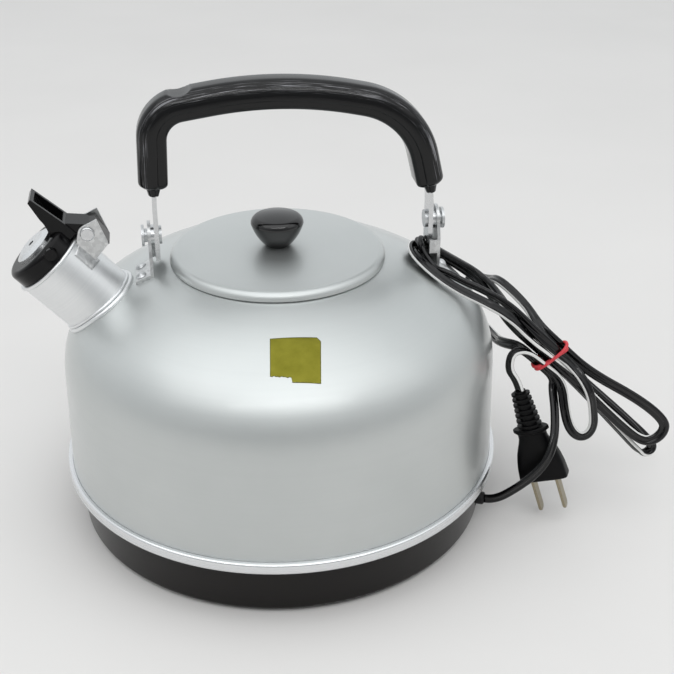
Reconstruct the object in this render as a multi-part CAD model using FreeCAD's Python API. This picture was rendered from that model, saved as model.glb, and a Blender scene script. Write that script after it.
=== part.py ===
import FreeCAD, Part
import math
import os

# Aluminium whistling kettle on a heated base, with its lead tied up and hung on the rear handle ear.
# Origin on the table under the vessel's axis, +Z up, spout towards -X, handle in the XZ plane.
# All lengths are millimetres and all angles are degrees.

# Vessel: a spun body with a slightly leaning wall, a rounded corner and a domed shoulder
sheet = 1.2
wall_radius = 109.0
wall_draft = 1.4
corner_radius = 42.0
dome_radius = 130.0
dome_slope = 16.0
seat_height = 135.5
neck_radius = 46.5
neck_depth = 7.0
neck_edge = 0.5
bottom_sheet = 1.4
hem_height = 2.8
hem_width = 1.1
bead_wall = 1.4
bead_round = 1.3

# Heated base: a moulded tray under the vessel with its element, cut-out and terminals
base_height = 28.0
base_inset = 1.4
base_taper = 3.3
base_wall = 2.4
base_edge = 3.0
foot_proud = 1.2
foot_depth = 2.2
foot_radius = 6.0
foot_inset = 16.3
foot_count = 4
pillar_inset = 22.3
pillar_radius = 4.5
pillar_count = 3
pillar_angle = 33.0
screw_radius = 2.0
screw_head_radius = 3.8
screw_head_height = 1.5
screw_grip = 8.0
screw_slot_width = 1.0
screw_slot_depth = 0.7
element_radius = 4.0
element_gap = 36.0
element_pin_radius = 1.8
pin_inset = 2.0
element_pin_length = 8.0
clamp_gap = 5.5
clamp_rim = 8.0
clamp_sheet = 1.5
clamp_notch = 50.0
clamp_notch_depth = 28.8
stud_radius = 4.0
stud_length = 17.0
nut_flats = 13.0
nut_height = 6.5
cutout_radius = 13.0
cutout_height = 7.0
cutout_gap = 9.0
tag_sheet = 0.8
tag_width = 5.0
tag_length = 3.0
tag_spread = 6.5
block_length = 26.0
block_width = 14.0
block_height = 10.0
block_inset = 11.3
well_radius = 2.4
wire_radius = 1.3

# Lid: a domed cover with a turned-down edge, an inner sleeve and a knob
lid_radius = 52.5
lid_sheet = 1.0
lid_rise = 2.0
lid_edge = 2.4
lid_skirt = 1.0
sleeve_sheet = 0.8
sleeve_depth = 9.0
knob_radius = 12.8
knob_foot_radius = 5.6
knob_height = 16.4
knob_brim_height = 11.6
knob_brim_round = 2.6
knob_brim_inset = 0.8
knob_brim_drop = 1.2
knob_waist_radius = 8.8
knob_waist_height = 3.5
knob_crown = 1.2
knob_screw_radius = 2.0
knob_screw_depth = 8.0

# Spout: a short straight tube through the shoulder, with a rolled lip and a conforming collar
spout_gap = 0.4
spout_rise = 1.75
spout_elevation = 48.5
spout_radius = 18.5
spout_wall = 1.2
spout_length = 29.6
spout_inside = 3.0
lip_width = 1.0
lip_height = 1.8
collar_width = 1.5
collar_height = 1.8

# Whistle: a flap on a pin between the cheeks of a sheet bracket, measured along and off the spout
pivot_along = 27.4
pivot_off = 24.2
cheek_sheet = 1.0
cheek_gap = 13.6
bracket_back = 15.4
bracket_front = 26.8
saddle_length = 5.0
lobe_radius = 4.3
lobe_open = 35.0
peak_along = 29.4
peak_off = 32.3
heel_along = 17.0
heel_off = 27.5
pin_radius = 1.8
pin_head_radius = 3.4
pin_head_height = 1.3
pin_head_round = 0.8
hub_radius = 4.1
lever_width = 15.0
lever_reach = 57.0
lever_tip = 2.0
lever_top_off = 18.2
lever_root_off = 20.6
lever_floor = 1.5
lever_side = 1.8
lever_neck = 1.0
lever_root = 1.0
lever_back = 2.0
lever_tip_lean = 0.5
lever_tip_edge = 0.6
lever_bend_along = 9.0
lever_bend_off = 14.0
lever_throat_along = 3.4
lever_throat_off = 12.7
bridge_depth = 4.0
bridge_start = 1.5
tail_thickness = 3.0
tail_peak_inset = 2.2
tail_peak_drop = 1.0
tail_heel_proud = 0.6
cap_radius = 17.8
cap_height = 8.2
cap_round = 2.6
cap_bore = 9.0
cap_spigot = 2.0
boss_radius = 2.8
boss_proud = 1.6
boss_root = 4.8
boss_off = 8.0
boss_height = 4.5
disc_radius = 10.4
disc_sheet = 0.8
disc_height = 2.4
disc_crown = 7.3
disc_rim = 1.0
whistle_hole = 1.6

# Handle: a steel bail in a moulded grip, riveted to two ears that stand on the shoulder
pivot_rise = 15.0
ear_lid_gap = 8.1
rear_ear_inset = 31.4
ear_sheet = 1.5
ear_width = 18.4
ear_lug_radius = 7.0
foot_length = 7.2
tab_length = 3.8
tab_height = 7.0
tab_drop = 8.0
strap_width = 10.0
strap_sheet = 2.2
strap_tail = 11.5
washer_sheet = 1.6
washer_radius = 5.0
rivet_radius = 2.5
rivet_head_radius = 5.2
rivet_head_height = 1.3
rivet_collar = 1.6
rivet_collar_radius = 3.25
rivet_tail_radius = 4.4
ear_rivet_radius = 1.5
ear_rivet_head = 2.7
ear_rivet_dome = 1.5
ear_rivet_spread = 5.4
ear_rivet_reach = 4.0
handle_swing = 14.0
handle_front_rise = 61.7
handle_front_lean = 1.5
handle_front_bend_rise = 14.5
handle_crown_lean = 4.5
handle_crown_rise = 70.5
handle_rear_inset = 12.2
handle_rear_rise = 57.0
handle_rear_bend_rise = 14.5
front_bend_radius = 16.0
crown_bend_share = 1.367
rear_bend_share = 0.2734
foot_bend_radius = 60.0
front_grip_rise = 26.4
rear_grip_rise = 20.5
grip_depth = 19.0
grip_height = 13.8
grip_round = 4.6
grip_band = 4.6
grip_step = 0.9
grip_band_round = 1.8
notch_reach = -45.0
notch_radius = 11.0
notch_depth = 2.2
nib_length = 5.0
nib_top = (11.6, 15.0)
nib_end = (3.8, 11.4)

# Lead: flat twin lead as a round tube of like thickness, its hank, band and plug
cord_radius = 1.9
hank_turn = -9.0
tie_off_wall = 26.6
tie_near = -12.0
tie_drop = 50.0
tie_slope = 43.8
tie_length = 12.0
tie_pitch = 2.35
tie_rows = 4.1
band_sheet = 1.2
band_width = 6.0
exit_angle = -25.2
exit_height = 12.0
exit_run = 5.5
tie_run = 5.2
plug_run = 6.0
arc_share = 0.45
grommet_radius = 4.4
grommet_flange_radius = 5.6
grommet_flange = 1.6
plug_relief_length = 20.5
plug_relief_radius = 4.6
plug_relief_top_radius = 3.2
plug_rib_count = 6
plug_rib_depth = 1.2
plug_rib_share = 0.5
plug_collar_radius = 8.2
plug_collar_height = 3.0
plug_length = 26.5
plug_neck_width = 12.0
plug_end_width = 24.5
plug_depth = 11.0
plug_round = 1.8
plug_belly_width = 20.2
plug_belly_height = 11.9
plug_root = 1.0
blade_pitch = 12.7
blade_sheet = 1.5
blade_width = 6.3
blade_length = 18.0
blade_round = 1.2

# Clearances
fit = 0.1
seat_gap = 0.3
pin_fit = 0.05

# Places that follow from those sizes
base_top_radius = wall_radius - base_inset
base_foot_radius = base_top_radius - base_taper
foot_circle = base_foot_radius - foot_inset
pillar_circle = base_foot_radius - pillar_inset
clamp_radius = pillar_circle - pillar_radius - clamp_gap
element_circle = clamp_radius - clamp_rim - element_radius
cutout_offset = element_circle - element_radius - cutout_radius - cutout_gap
block_circle = base_foot_radius - block_inset - block_width / 2
front_ear_reach = lid_radius + ear_lid_gap
rear_ear_reach = wall_radius - rear_ear_inset
front_foot_end = front_ear_reach + ear_sheet + foot_length
spout_reach = front_foot_end + spout_gap + spout_radius + collar_width
pivot_height = seat_height + pivot_rise
handle_front_height = pivot_height + handle_front_rise
handle_span = front_ear_reach + rear_ear_reach
handle_crown = ((rear_ear_reach - front_ear_reach) / 2 - handle_crown_lean, pivot_height + handle_crown_rise)
crown_bend_radius = handle_span * crown_bend_share
rear_bend_radius = handle_span * rear_bend_share
handle_rear_top = (rear_ear_reach - handle_rear_inset, pivot_height + handle_rear_rise)
handle_front_bend_height = pivot_height + handle_front_bend_rise
handle_rear_bend_height = pivot_height + handle_rear_bend_rise
tie_place = (wall_radius + tie_off_wall, tie_near, seat_height - tie_drop)

Vector = FreeCAD.Vector
X_AXIS = Vector(1, 0, 0)
Y_AXIS = Vector(0, 1, 0)
Z_AXIS = Vector(0, 0, 1)
ORIGIN = Vector(0, 0, 0)

os.makedirs("parts", exist_ok=True)


def sine(angle):
    return math.sin(math.radians(angle))


def cosine(angle):
    return math.cos(math.radians(angle))


def keep(name, shape):
    """Writes one sub-part."""
    shape.exportStep("parts/" + name + ".step")


def cylinder(radius, height, base, axis=Z_AXIS):
    return Part.makeCylinder(radius, height, base, axis)


def box(low, high):
    """A box between two corners."""
    size = [b - a for a, b in zip(low, high)]
    return Part.makeBox(size[0], size[1], size[2], Vector(*low))


def round_point(centre, radius, angle):
    """A point on a circle in the (radius, height) plane."""
    return (centre[0] + radius * cosine(angle), centre[1] + radius * sine(angle))


def arc_radius(rise, half_chord):
    """Radius of an arc from its rise and half its chord."""
    return (half_chord ** 2 + rise ** 2) / (2 * rise)


def profile_edges(steps, to_vector):
    """Edges through a list of points, where ("arc", middle, end) draws an arc."""
    edges = []
    here = to_vector(steps[0])
    for step in steps[1:]:
        if step[0] == "arc":
            there = to_vector(step[2])
            edges.append(Part.Arc(here, to_vector(step[1]), there).toShape())
        else:
            there = to_vector(step)
            edges.append(Part.LineSegment(here, there).toShape())
        here = there
    first = to_vector(steps[0])
    if here.sub(first).Length > 1e-7:
        edges.append(Part.LineSegment(here, first).toShape())
    return edges


def turned(steps):
    """A solid turned about Z from a closed outline of (radius, height) points and arcs."""
    wire = Part.Wire(profile_edges(steps, lambda p: Vector(p[0], 0, p[1])))
    return Part.Face(wire).revolve(ORIGIN, Z_AXIS, 360)


def slab(steps, half_width):
    """A flat piece from an outline of (x, z) points and arcs, centred on y = 0."""
    wire = Part.Wire(profile_edges(steps, lambda p: Vector(p[0], -half_width, p[1])))
    return Part.Face(wire).extrude(Vector(0, 2 * half_width, 0))


def fused(shapes):
    return shapes[0].fuse(shapes[1:]).removeSplitter()


def circle_edges(shape, radius, height):
    """The circular edges of a turned solid with this radius and height."""
    found = []
    for edge in shape.Edges:
        if hasattr(edge.Curve, "Radius"):
            same_radius = abs(edge.Curve.Radius - radius) < 1e-4
            if same_radius and abs(edge.Curve.Center.z - height) < 1e-4:
                found.append(edge)
    return found


# The vessel's outline, used by everything that stands on it

seam_height = base_height + bottom_sheet
wall_foot = seam_height + hem_height
dome_centre = (lid_radius - dome_radius * sine(dome_slope),
               seat_height - dome_radius * cosine(dome_slope))


def corner_centre():
    """Centre of the corner's arc, tangent to the leaning wall and inside the dome."""
    normal = (cosine(wall_draft), sine(wall_draft))
    along = (-sine(wall_draft), cosine(wall_draft))
    offset = wall_radius * normal[0] + wall_foot * normal[1] - corner_radius
    start = (offset * normal[0] - dome_centre[0], offset * normal[1] - dome_centre[1])
    half = start[0] * along[0] + start[1] * along[1]
    reach = dome_radius - corner_radius
    square = half ** 2 - start[0] ** 2 - start[1] ** 2 + reach ** 2
    travel = math.sqrt(square) - half
    return (offset * normal[0] + travel * along[0], offset * normal[1] + travel * along[1])


corner = corner_centre()
shoulder_angle = math.degrees(math.atan2(corner[1] - dome_centre[1], corner[0] - dome_centre[0]))


def dome_height(radius, offset=0.0):
    """Height of the vessel's outer surface, or of one parallel to it, over the shoulder or corner."""
    bend = round_point(corner, corner_radius + offset, shoulder_angle)
    if radius <= bend[0]:
        return dome_centre[1] + math.sqrt((dome_radius + offset) ** 2 - (radius - dome_centre[0]) ** 2)
    return corner[1] + math.sqrt((corner_radius + offset) ** 2 - (radius - corner[0]) ** 2)


def dome_angle(radius):
    """Slope of the shoulder at this radius."""
    return math.degrees(math.asin((radius - dome_centre[0]) / dome_radius))


def wall_at(height, offset=0.0):
    """Radius of the leaning wall at a height."""
    return wall_radius - (height - wall_foot) * math.tan(math.radians(wall_draft)) + offset


def outline(offset, inner_radius, foot):
    """Points and arcs up the wall, round the corner and over the dome to inner_radius."""
    top = (inner_radius, dome_height(inner_radius, offset))
    bend = round_point(corner, corner_radius + offset, shoulder_angle)
    middle_radius = (inner_radius + bend[0]) / 2
    middle = (middle_radius, dome_height(middle_radius, offset))
    knee = round_point(corner, corner_radius + offset, (shoulder_angle + wall_draft) / 2)
    wall_top = round_point(corner, corner_radius + offset, wall_draft)
    return [(wall_at(foot, offset / cosine(wall_draft)), foot), wall_top, ("arc", knee, bend),
            ("arc", middle, top)]


def vessel_block(offset):
    """A solid of the vessel's outer form, grown by offset, with no inside."""
    steps = [(0, wall_foot)] + outline(offset, neck_radius, wall_foot)
    return turned(steps + [(0, dome_height(neck_radius, offset))])


def under_skin(height):
    """The layer of the given thickness that lies on the vessel's outer surface."""
    outer = outline(height, neck_radius, wall_foot)
    inner = outline(0.0, neck_radius, wall_foot)
    return turned(outer + backwards(inner))


def backwards(steps):
    """The same points and arcs from the last to the first."""
    ends = [step[2] if step[0] == "arc" else step for step in steps]
    path = [ends[-1]]
    for index in range(len(steps) - 1, 0, -1):
        step = steps[index]
        if step[0] == "arc":
            path.append(("arc", step[1], ends[index - 1]))
        else:
            path.append(ends[index - 1])
    return path


spout_height = dome_height(spout_reach) + spout_rise
spout_turn = FreeCAD.Rotation(Y_AXIS, spout_elevation - 90)
spout_place = FreeCAD.Placement(Vector(-spout_reach, 0, spout_height), spout_turn)


def on_spout(shape):
    """Carries a piece from the spout's own frame, X off the spout and Z along it, to the vessel."""
    placed = shape.copy()
    placed.Placement = spout_place.multiply(placed.Placement)
    return placed


# Ears and their rivets


class Ear:
    """Where one handle ear stands: its plate's radius and the side of the vessel that it is on."""

    def __init__(self, reach, side):
        self.reach = reach
        self.side = side

    def placed(self, shape):
        if self.side > 0:
            return shape
        return shape.rotated(ORIGIN, Z_AXIS, 180)

    def rivet_spots(self):
        """Points on the shoulder and the outward normal there, for the two foot rivets."""
        radius = self.reach + ear_sheet + ear_rivet_reach
        spots = []
        for offset in (-ear_rivet_spread, ear_rivet_spread):
            reach = math.hypot(radius, offset)
            slope = dome_angle(reach)
            normal = Vector(sine(slope) * radius / reach, sine(slope) * offset / reach, cosine(slope))
            spots.append((Vector(radius, offset, dome_height(reach)), normal))
        return spots

    def rivet_holes(self, radius):
        depth = 4 * (sheet + ear_sheet)
        holes = [cylinder(radius, depth, spot - normal * depth / 2, normal)
                 for spot, normal in self.rivet_spots()]
        return Part.makeCompound([self.placed(hole) for hole in holes])


front_ear = Ear(front_ear_reach, -1)
rear_ear = Ear(rear_ear_reach, 1)
tab_inner = strap_tail * sine(handle_swing) + strap_width / 2 * cosine(handle_swing) + seat_gap


def ear_plate(ear):
    """A sheet ear: foot on the shoulder, upright lug round the pivot, and a stop tab at one edge."""
    half = max(ear_width / 2, tab_inner + ear_sheet)
    inside = ear.reach
    outside = ear.reach + ear_sheet
    skin = under_skin(ear_sheet)
    far = outside + foot_length
    foot = skin.common(box((inside, -half, 0), (far, half, pivot_height)))
    tab_top = pivot_height - tab_drop
    root = dome_height(math.hypot(outside, half)) - sheet
    steps = [(-half, root), (half, root), (half, tab_top), (ear_lug_radius, pivot_height),
             ("arc", (0, pivot_height + ear_lug_radius), (-ear_lug_radius, pivot_height)),
             (-half, tab_top)]
    wire = Part.Wire(profile_edges(steps, lambda p: Vector(inside, p[0], p[1])))
    upright = Part.Face(wire).extrude(Vector(ear_sheet, 0, 0)).cut(vessel_block(0.0))
    tab = box((inside - tab_length, -half, tab_top - tab_height), (inside, ear_sheet - half, tab_top))
    plate = fused([foot, upright, tab])
    bore_start = Vector(inside - ear_sheet, 0, pivot_height)
    bore = cylinder(rivet_radius + pin_fit, 4 * ear_sheet, bore_start, X_AXIS)
    plate = ear.placed(plate.cut(bore))
    return plate.cut(ear.rivet_holes(ear_rivet_radius + pin_fit))


def ear_rivets(ear):
    """Domed rivets through each foot and the shoulder, with a flat head inside."""
    rivets = []
    for spot, normal in ear.rivet_spots():
        outer = spot + normal * (ear_sheet + fit)
        inner = spot - normal * (sheet + fit)
        shank = cylinder(ear_rivet_radius, (outer - inner).Length, inner, normal)
        ball = arc_radius(ear_rivet_dome, ear_rivet_head)
        half_turn = math.degrees(math.asin(ear_rivet_head / ball)) / 2
        crown = round_point((0, ear_rivet_dome - ball), ball, 90 - half_turn)
        head = turned([(0, 0), (ear_rivet_head, 0), ("arc", crown, (0, ear_rivet_dome))])
        head.Placement = FreeCAD.Placement(outer, FreeCAD.Rotation(Z_AXIS, normal))
        back = cylinder(ear_rivet_head, sheet, inner - normal * sheet, normal)
        rivets.append(ear.placed(fused([shank, head, back])))
    return Part.makeCompound(rivets)


# Vessel


def kettle_shell():
    """The spun body: hemmed foot, wall, corner, dome and turned-down neck."""
    foot = wall_foot
    outer = outline(0.0, neck_radius, foot)
    inner = outline(-sheet, neck_radius + sheet, foot)
    inner_top = inner[-1][2]
    neck_foot = dome_height(neck_radius) - neck_depth
    hem = [(inner[0][0], seam_height), (wall_radius + hem_width, seam_height),
           (wall_radius + hem_width, foot)]
    neck = [(neck_radius, neck_foot), (neck_radius + sheet, neck_foot), inner_top]
    shell = turned(hem + outer + neck + backwards(inner)[1:])
    shell = shell.makeFillet(neck_edge, circle_edges(shell, neck_radius, dome_height(neck_radius)))
    hole = on_spout(cylinder(spout_radius + fit, 2 * spout_length, Vector(0, 0, -spout_length)))
    shell = shell.cut(hole)
    for ear in (front_ear, rear_ear):
        shell = shell.cut(ear.rivet_holes(ear_rivet_radius + pin_fit))
    return shell


def vessel_bottom():
    """The bottom sheet, its edge rolled up round the body's hem as a bright bead."""
    hem = wall_radius + hem_width
    edge = hem + bead_wall
    top = wall_foot + bead_wall
    steps = [(0, base_height), (edge, base_height), (edge, top), (wall_at(top) + fit, top),
             (wall_at(wall_foot) + fit, wall_foot), (hem, wall_foot), (hem, seam_height), (0, seam_height)]
    disc = turned(steps)
    edges = circle_edges(disc, edge, base_height) + circle_edges(disc, edge, top)
    return disc.makeFillet(bead_round, edges)


# Heated base


floor_top = foot_proud + base_wall


def around(count, start=0.0):
    return [start + 360.0 * index / count for index in range(count)]


def at_angle(radius, angle, height):
    return Vector(radius * cosine(angle), radius * sine(angle), height)


def foot_spots():
    """Where the feet stand: in a ring, and one under the vessel's axis."""
    return [ORIGIN] + [at_angle(foot_circle, angle, 0) for angle in around(foot_count, 45.0)]


def base_housing():
    """A moulded tray: leaning wall, rounded lower edge, flat floor, pockets for the feet."""
    lean = (base_top_radius - base_foot_radius) / (base_height - foot_proud)
    steps = [(0, foot_proud), (base_foot_radius, foot_proud), (base_top_radius, base_height),
             (base_top_radius - base_wall, base_height),
             (base_foot_radius - base_wall + lean * base_wall, floor_top), (0, floor_top)]
    tray = turned(steps)
    tray = tray.makeFillet(base_edge, circle_edges(tray, base_foot_radius, foot_proud))
    cuts = [cylinder(foot_radius + fit, foot_depth, spot) for spot in foot_spots()]
    for angle in around(pillar_count, pillar_angle):
        spot = at_angle(pillar_circle, angle, 0)
        cuts.append(cylinder(screw_radius + fit, 2 * floor_top, spot))
        cuts.append(cylinder(screw_head_radius + fit, foot_proud + screw_head_height, spot))
    radial = at_angle(1, exit_angle, 0)
    start = at_angle(base_foot_radius - 3 * base_wall, exit_angle, exit_height)
    cuts.append(cylinder(grommet_radius + fit, 8 * base_wall, start, radial))
    return tray.cut(cuts)


def base_feet():
    """Rubber feet pressed into the tray's pockets."""
    return Part.makeCompound([cylinder(foot_radius, foot_depth - fit, spot) for spot in foot_spots()])


def base_pillars():
    """Threaded pillars that hang from the vessel's bottom and carry the tray."""
    pillars = []
    for angle in around(pillar_count, pillar_angle):
        pillar = cylinder(pillar_radius, base_height - floor_top, at_angle(pillar_circle, angle, floor_top))
        bore = cylinder(screw_radius + pin_fit, screw_grip + fit, at_angle(pillar_circle, angle, floor_top))
        pillars.append(pillar.cut(bore))
    return Part.makeCompound(pillars)


def base_screws():
    """Pan-head screws, sunk in the tray's floor, into the pillars."""
    screws = []
    seat = foot_proud + screw_head_height
    for angle in around(pillar_count, pillar_angle):
        shank = cylinder(screw_radius, floor_top + screw_grip - seat, at_angle(pillar_circle, angle, seat))
        head = cylinder(screw_head_radius, screw_head_height, at_angle(pillar_circle, angle, foot_proud))
        slot = box((-screw_head_radius, -screw_slot_width / 2, foot_proud),
                   (screw_head_radius, screw_slot_width / 2, foot_proud + screw_slot_depth))
        slot.rotate(ORIGIN, Z_AXIS, angle)
        slot.translate(at_angle(pillar_circle, angle, 0))
        screws.append(fused([shank, head]).cut(slot))
    return Part.makeCompound(screws)


element_height = base_height - element_radius - fit
clamp_top = element_height - element_radius - fit
element_start = exit_angle + element_gap / 2


def heating_element():
    """A sheathed heating tube bent to a ring, with two cold pins turned down at its ends."""
    sweep = 360.0 - element_gap
    centre = Vector(0, 0, element_height)
    ring = Part.makeTorus(element_circle, element_radius, centre, Z_AXIS, 0, 360, sweep)
    ring = ring.rotate(ORIGIN, Z_AXIS, element_start)
    pieces = [ring]
    for angle in (element_start + pin_inset, element_start + sweep - pin_inset):
        top = at_angle(element_circle, angle, element_height - element_pin_length)
        pieces.append(cylinder(element_pin_radius, element_pin_length, top))
    return fused(pieces)


def element_clamp():
    """A pressed plate that holds the element up against the vessel's bottom."""
    plate = cylinder(clamp_radius, clamp_sheet, Vector(0, 0, clamp_top - clamp_sheet))
    bore = cylinder(stud_radius + fit, 3 * clamp_sheet, Vector(0, 0, clamp_top - 2 * clamp_sheet))
    notch = box((clamp_radius - clamp_notch_depth, -clamp_notch / 2, 0),
                (2 * clamp_radius, clamp_notch / 2, base_height))
    notch.rotate(ORIGIN, Z_AXIS, exit_angle)
    return plate.cut([bore, notch])


def clamp_stud():
    """The threaded stud on the vessel's bottom that the clamp and its nut hang on."""
    return cylinder(stud_radius, stud_length, Vector(0, 0, base_height - stud_length))


def clamp_nut():
    """The hexagon nut under the clamp."""
    corner_reach = nut_flats / 2 / cosine(30)
    points = [at_angle(corner_reach, angle, clamp_top - clamp_sheet) for angle in around(6)]
    wire = Part.makePolygon(points + points[:1])
    nut = Part.Face(wire).extrude(Vector(0, 0, -nut_height))
    bore = cylinder(stud_radius + pin_fit, 3 * nut_height, Vector(0, 0, clamp_top - 2 * nut_height))
    return nut.cut(bore)


def thermal_cutout():
    """The bimetal cut-out under the clamp, with its two tags."""
    top = clamp_top - clamp_sheet
    spot = at_angle(cutout_offset, exit_angle, top)
    body = cylinder(cutout_radius, cutout_height, spot, -Z_AXIS)
    tags = []
    for side in (-1, 1):
        tag = box((-tag_sheet / 2, -tag_width / 2, 0),
                  (tag_sheet / 2, tag_width / 2, cutout_height + tag_length))
        tag.translate(Vector(0, side * tag_spread, -cutout_height - tag_length))
        tag.rotate(ORIGIN, Z_AXIS, exit_angle)
        tag.translate(spot)
        tags.append(tag)
    return fused([body] + tags)


block_place = at_angle(block_circle, exit_angle, floor_top)


def terminal_block():
    """A ceramic terminal block on the tray's floor, beside the lead's entry."""
    half = block_length / 2
    block = box((-block_width / 2, -half, 0), (block_width / 2, half, block_height))
    wells = [Vector(0, side * half / 2, block_height / 2) for side in (-1, 1)]
    block = block.cut([cylinder(well_radius, block_height / 2, well) for well in wells])
    block.rotate(ORIGIN, Z_AXIS, exit_angle)
    block.translate(block_place)
    return block


def inner_wires():
    """Two heat-proof wires from the element's pins to the terminal block."""
    sweep = 360.0 - element_gap
    turn = FreeCAD.Rotation(Z_AXIS, exit_angle)
    drop = 4 * wire_radius
    wires = []
    for side, angle in ((1, element_start + pin_inset), (-1, element_start + sweep - pin_inset)):
        pin = at_angle(element_circle, angle, element_height - element_pin_length)
        knee = pin - Z_AXIS * drop
        tag = turn.multVec(Vector(-block_width / 2, side * block_length / 4, 0)) + block_place
        tag.z = knee.z
        points = [pin, knee, tag - exit_way * 2 * drop, tag]
        wires.append(swept(route_edges(points)[0], wire_radius, pin, -Z_AXIS))
    return Part.makeCompound(wires)


# Swept round pieces


def swept(edges, radius, start, direction):
    """A round tube along a chain of tangent edges."""
    ring = Part.Wire([Part.Circle(start, direction, radius).toShape()])
    pipe = Part.BRepOffsetAPI.MakePipeShell(Part.Wire(edges))
    pipe.add(ring)
    pipe.build()
    pipe.makeSolid()
    return pipe.shape()


def route_edges(points):
    """Straight runs joined by tangent arcs as large as the runs allow, and the arcs' radii."""
    edges = []
    radii = []
    here = points[0]
    for before, at, after in zip(points, points[1:], points[2:]):
        back = before - at
        ahead = after - at
        turn = math.pi - back.getAngle(ahead)
        reach = arc_share * min(back.Length, ahead.Length)
        radius = reach / math.tan(turn / 2)
        first = at + back.normalize() * reach
        last = at + ahead.normalize() * reach
        bisector = (back + ahead).normalize()
        middle = at + bisector * (radius / math.cos(turn / 2) - radius)
        edges.append(Part.LineSegment(here, first).toShape())
        edges.append(Part.Arc(first, middle, last).toShape())
        radii.append(radius)
        here = last
    edges.append(Part.LineSegment(here, points[-1]).toShape())
    return edges, radii


def lead_along(name, points):
    """A free stretch of the lead, with its radii and volume printed."""
    edges, radii = route_edges(points)
    tube = swept(edges, cord_radius, points[0], points[1] - points[0])
    length = sum(edge.Length for edge in edges)
    plain = math.pi * cord_radius ** 2 * length
    print(name, "length", round(length, 1), "radii", [round(radius, 1) for radius in radii],
          "volume ratio", round(tube.Volume / plain, 4))
    return tube


def arc_edge(start, direction, end):
    """An arc from a point with a direction to another point, or a straight run."""
    chord = end - start
    lean = direction - chord * (direction.dot(chord) / chord.dot(chord))
    if lean.Length < 1e-6:
        return Part.LineSegment(start, end).toShape()
    half_turn = direction.getAngle(chord)
    rise = chord.Length / 2 * math.tan(half_turn / 2)
    return Part.Arc(start, start + chord / 2 + lean.normalize() * rise, end).toShape()


def biarc(start, start_way, end, end_way):
    """Two tangent arcs that join two points with the given directions."""
    chord = end - start
    spread = 2 * (1 - start_way.dot(end_way))
    along = chord.dot(start_way + end_way)
    square = chord.dot(chord)
    if spread < 1e-9:
        reach = square / (2 * along)
    else:
        reach = (math.sqrt(along ** 2 + spread * square) - along) / spread
    joint = (start + end + (start_way - end_way) * reach) / 2
    joint_way = (joint - start - start_way * reach).normalize()
    return [arc_edge(start, start_way, joint), arc_edge(joint, joint_way, end)]


# Lid


lid_brim = lid_radius - lid_edge
lid_foot = dome_height(lid_radius - lid_sheet) + seat_gap
lid_shoulder = lid_foot + lid_skirt + lid_edge
lid_crown_radius = arc_radius(lid_rise, lid_brim)
lid_top = lid_shoulder + lid_rise


def lid_height(radius, drop=0.0):
    """Height of the lid's upper face, or of one parallel to it and lower by drop."""
    centre = lid_top - lid_crown_radius
    return centre + math.sqrt((lid_crown_radius - drop) ** 2 - radius ** 2)


def lid_cover():
    """The pressed cover: shallow dome, rounded brim and short turned-down skirt."""
    inner = lid_edge - lid_sheet
    corner_at = (lid_brim, lid_shoulder - lid_edge)
    bore = knob_screw_radius + fit
    half = lid_brim / 2
    return turned([
        (bore, lid_height(bore)),
        ("arc", (half, lid_height(half)), (lid_brim, lid_shoulder)),
        ("arc", round_point(corner_at, lid_edge, 45), (lid_radius, corner_at[1])),
        (lid_radius, lid_foot),
        (lid_radius - lid_sheet, lid_foot),
        (lid_radius - lid_sheet, corner_at[1]),
        ("arc", round_point(corner_at, inner, 45), (lid_brim, corner_at[1] + inner)),
        (lid_brim, lid_height(lid_brim, lid_sheet)),
        ("arc", (half, lid_height(half, lid_sheet)), (bore, lid_height(bore, lid_sheet))),
    ])


def lid_sleeve():
    """The ring under the cover that slips into the vessel's neck."""
    outer = neck_radius - seat_gap
    inner = outer - sleeve_sheet
    foot = lid_height(outer, lid_sheet) - sleeve_depth
    steps = [(outer, foot), (outer, lid_height(outer, lid_sheet) - pin_fit),
             (inner, lid_height(inner, lid_sheet) - pin_fit), (inner, foot)]
    return turned(steps)


knob_foot = lid_height(knob_foot_radius)


def lid_knob():
    """A moulded knob: narrow foot, flared waist, rounded brim and slightly crowned top."""
    brim = knob_foot + knob_brim_height
    top = knob_foot + knob_height
    shoulder = knob_radius - knob_brim_round
    crown = arc_radius(knob_crown, shoulder)
    crown_turn = math.degrees(math.asin(shoulder / crown)) / 2
    crown_middle = round_point((0, top - crown), crown, 90 - crown_turn)
    bore = knob_screw_radius + pin_fit
    under = (bore + knob_foot_radius) / 2
    steps = [(bore, lid_height(bore) + pin_fit),
             ("arc", (under, lid_height(under) + pin_fit), (knob_foot_radius, knob_foot + pin_fit)),
             ("arc", (knob_waist_radius, knob_foot + knob_waist_height), (knob_radius, brim)),
             ("arc", (knob_radius - knob_brim_inset, top - knob_crown - knob_brim_drop),
              (shoulder, top - knob_crown)),
             ("arc", crown_middle, (0, top)),
             (0, knob_foot + knob_screw_depth),
             (bore, knob_foot + knob_screw_depth)]
    return turned(steps)


def knob_screw():
    """The screw that holds the knob from inside the lid."""
    seat = lid_height(0, lid_sheet) - seat_gap
    shank = cylinder(knob_screw_radius, knob_foot + knob_screw_depth - fit - seat, Vector(0, 0, seat))
    head = cylinder(2 * knob_screw_radius, knob_screw_radius, Vector(0, 0, seat - knob_screw_radius))
    return fused([shank, head])


# Spout and whistle, in the spout's own frame


def spout_tube():
    """The tube through the shoulder, with a rolled lip at the mouth, trimmed inside the vessel."""
    bore = spout_radius - spout_wall
    start = -2 * spout_radius
    steps = [(bore, start), (spout_radius, start), (spout_radius, spout_length - lip_height),
             ("arc", (spout_radius + lip_width, spout_length - lip_height / 2), (spout_radius, spout_length)),
             (bore, spout_length)]
    tube = on_spout(turned(steps))
    return tube.cut(vessel_block(-sheet - spout_inside))


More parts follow.
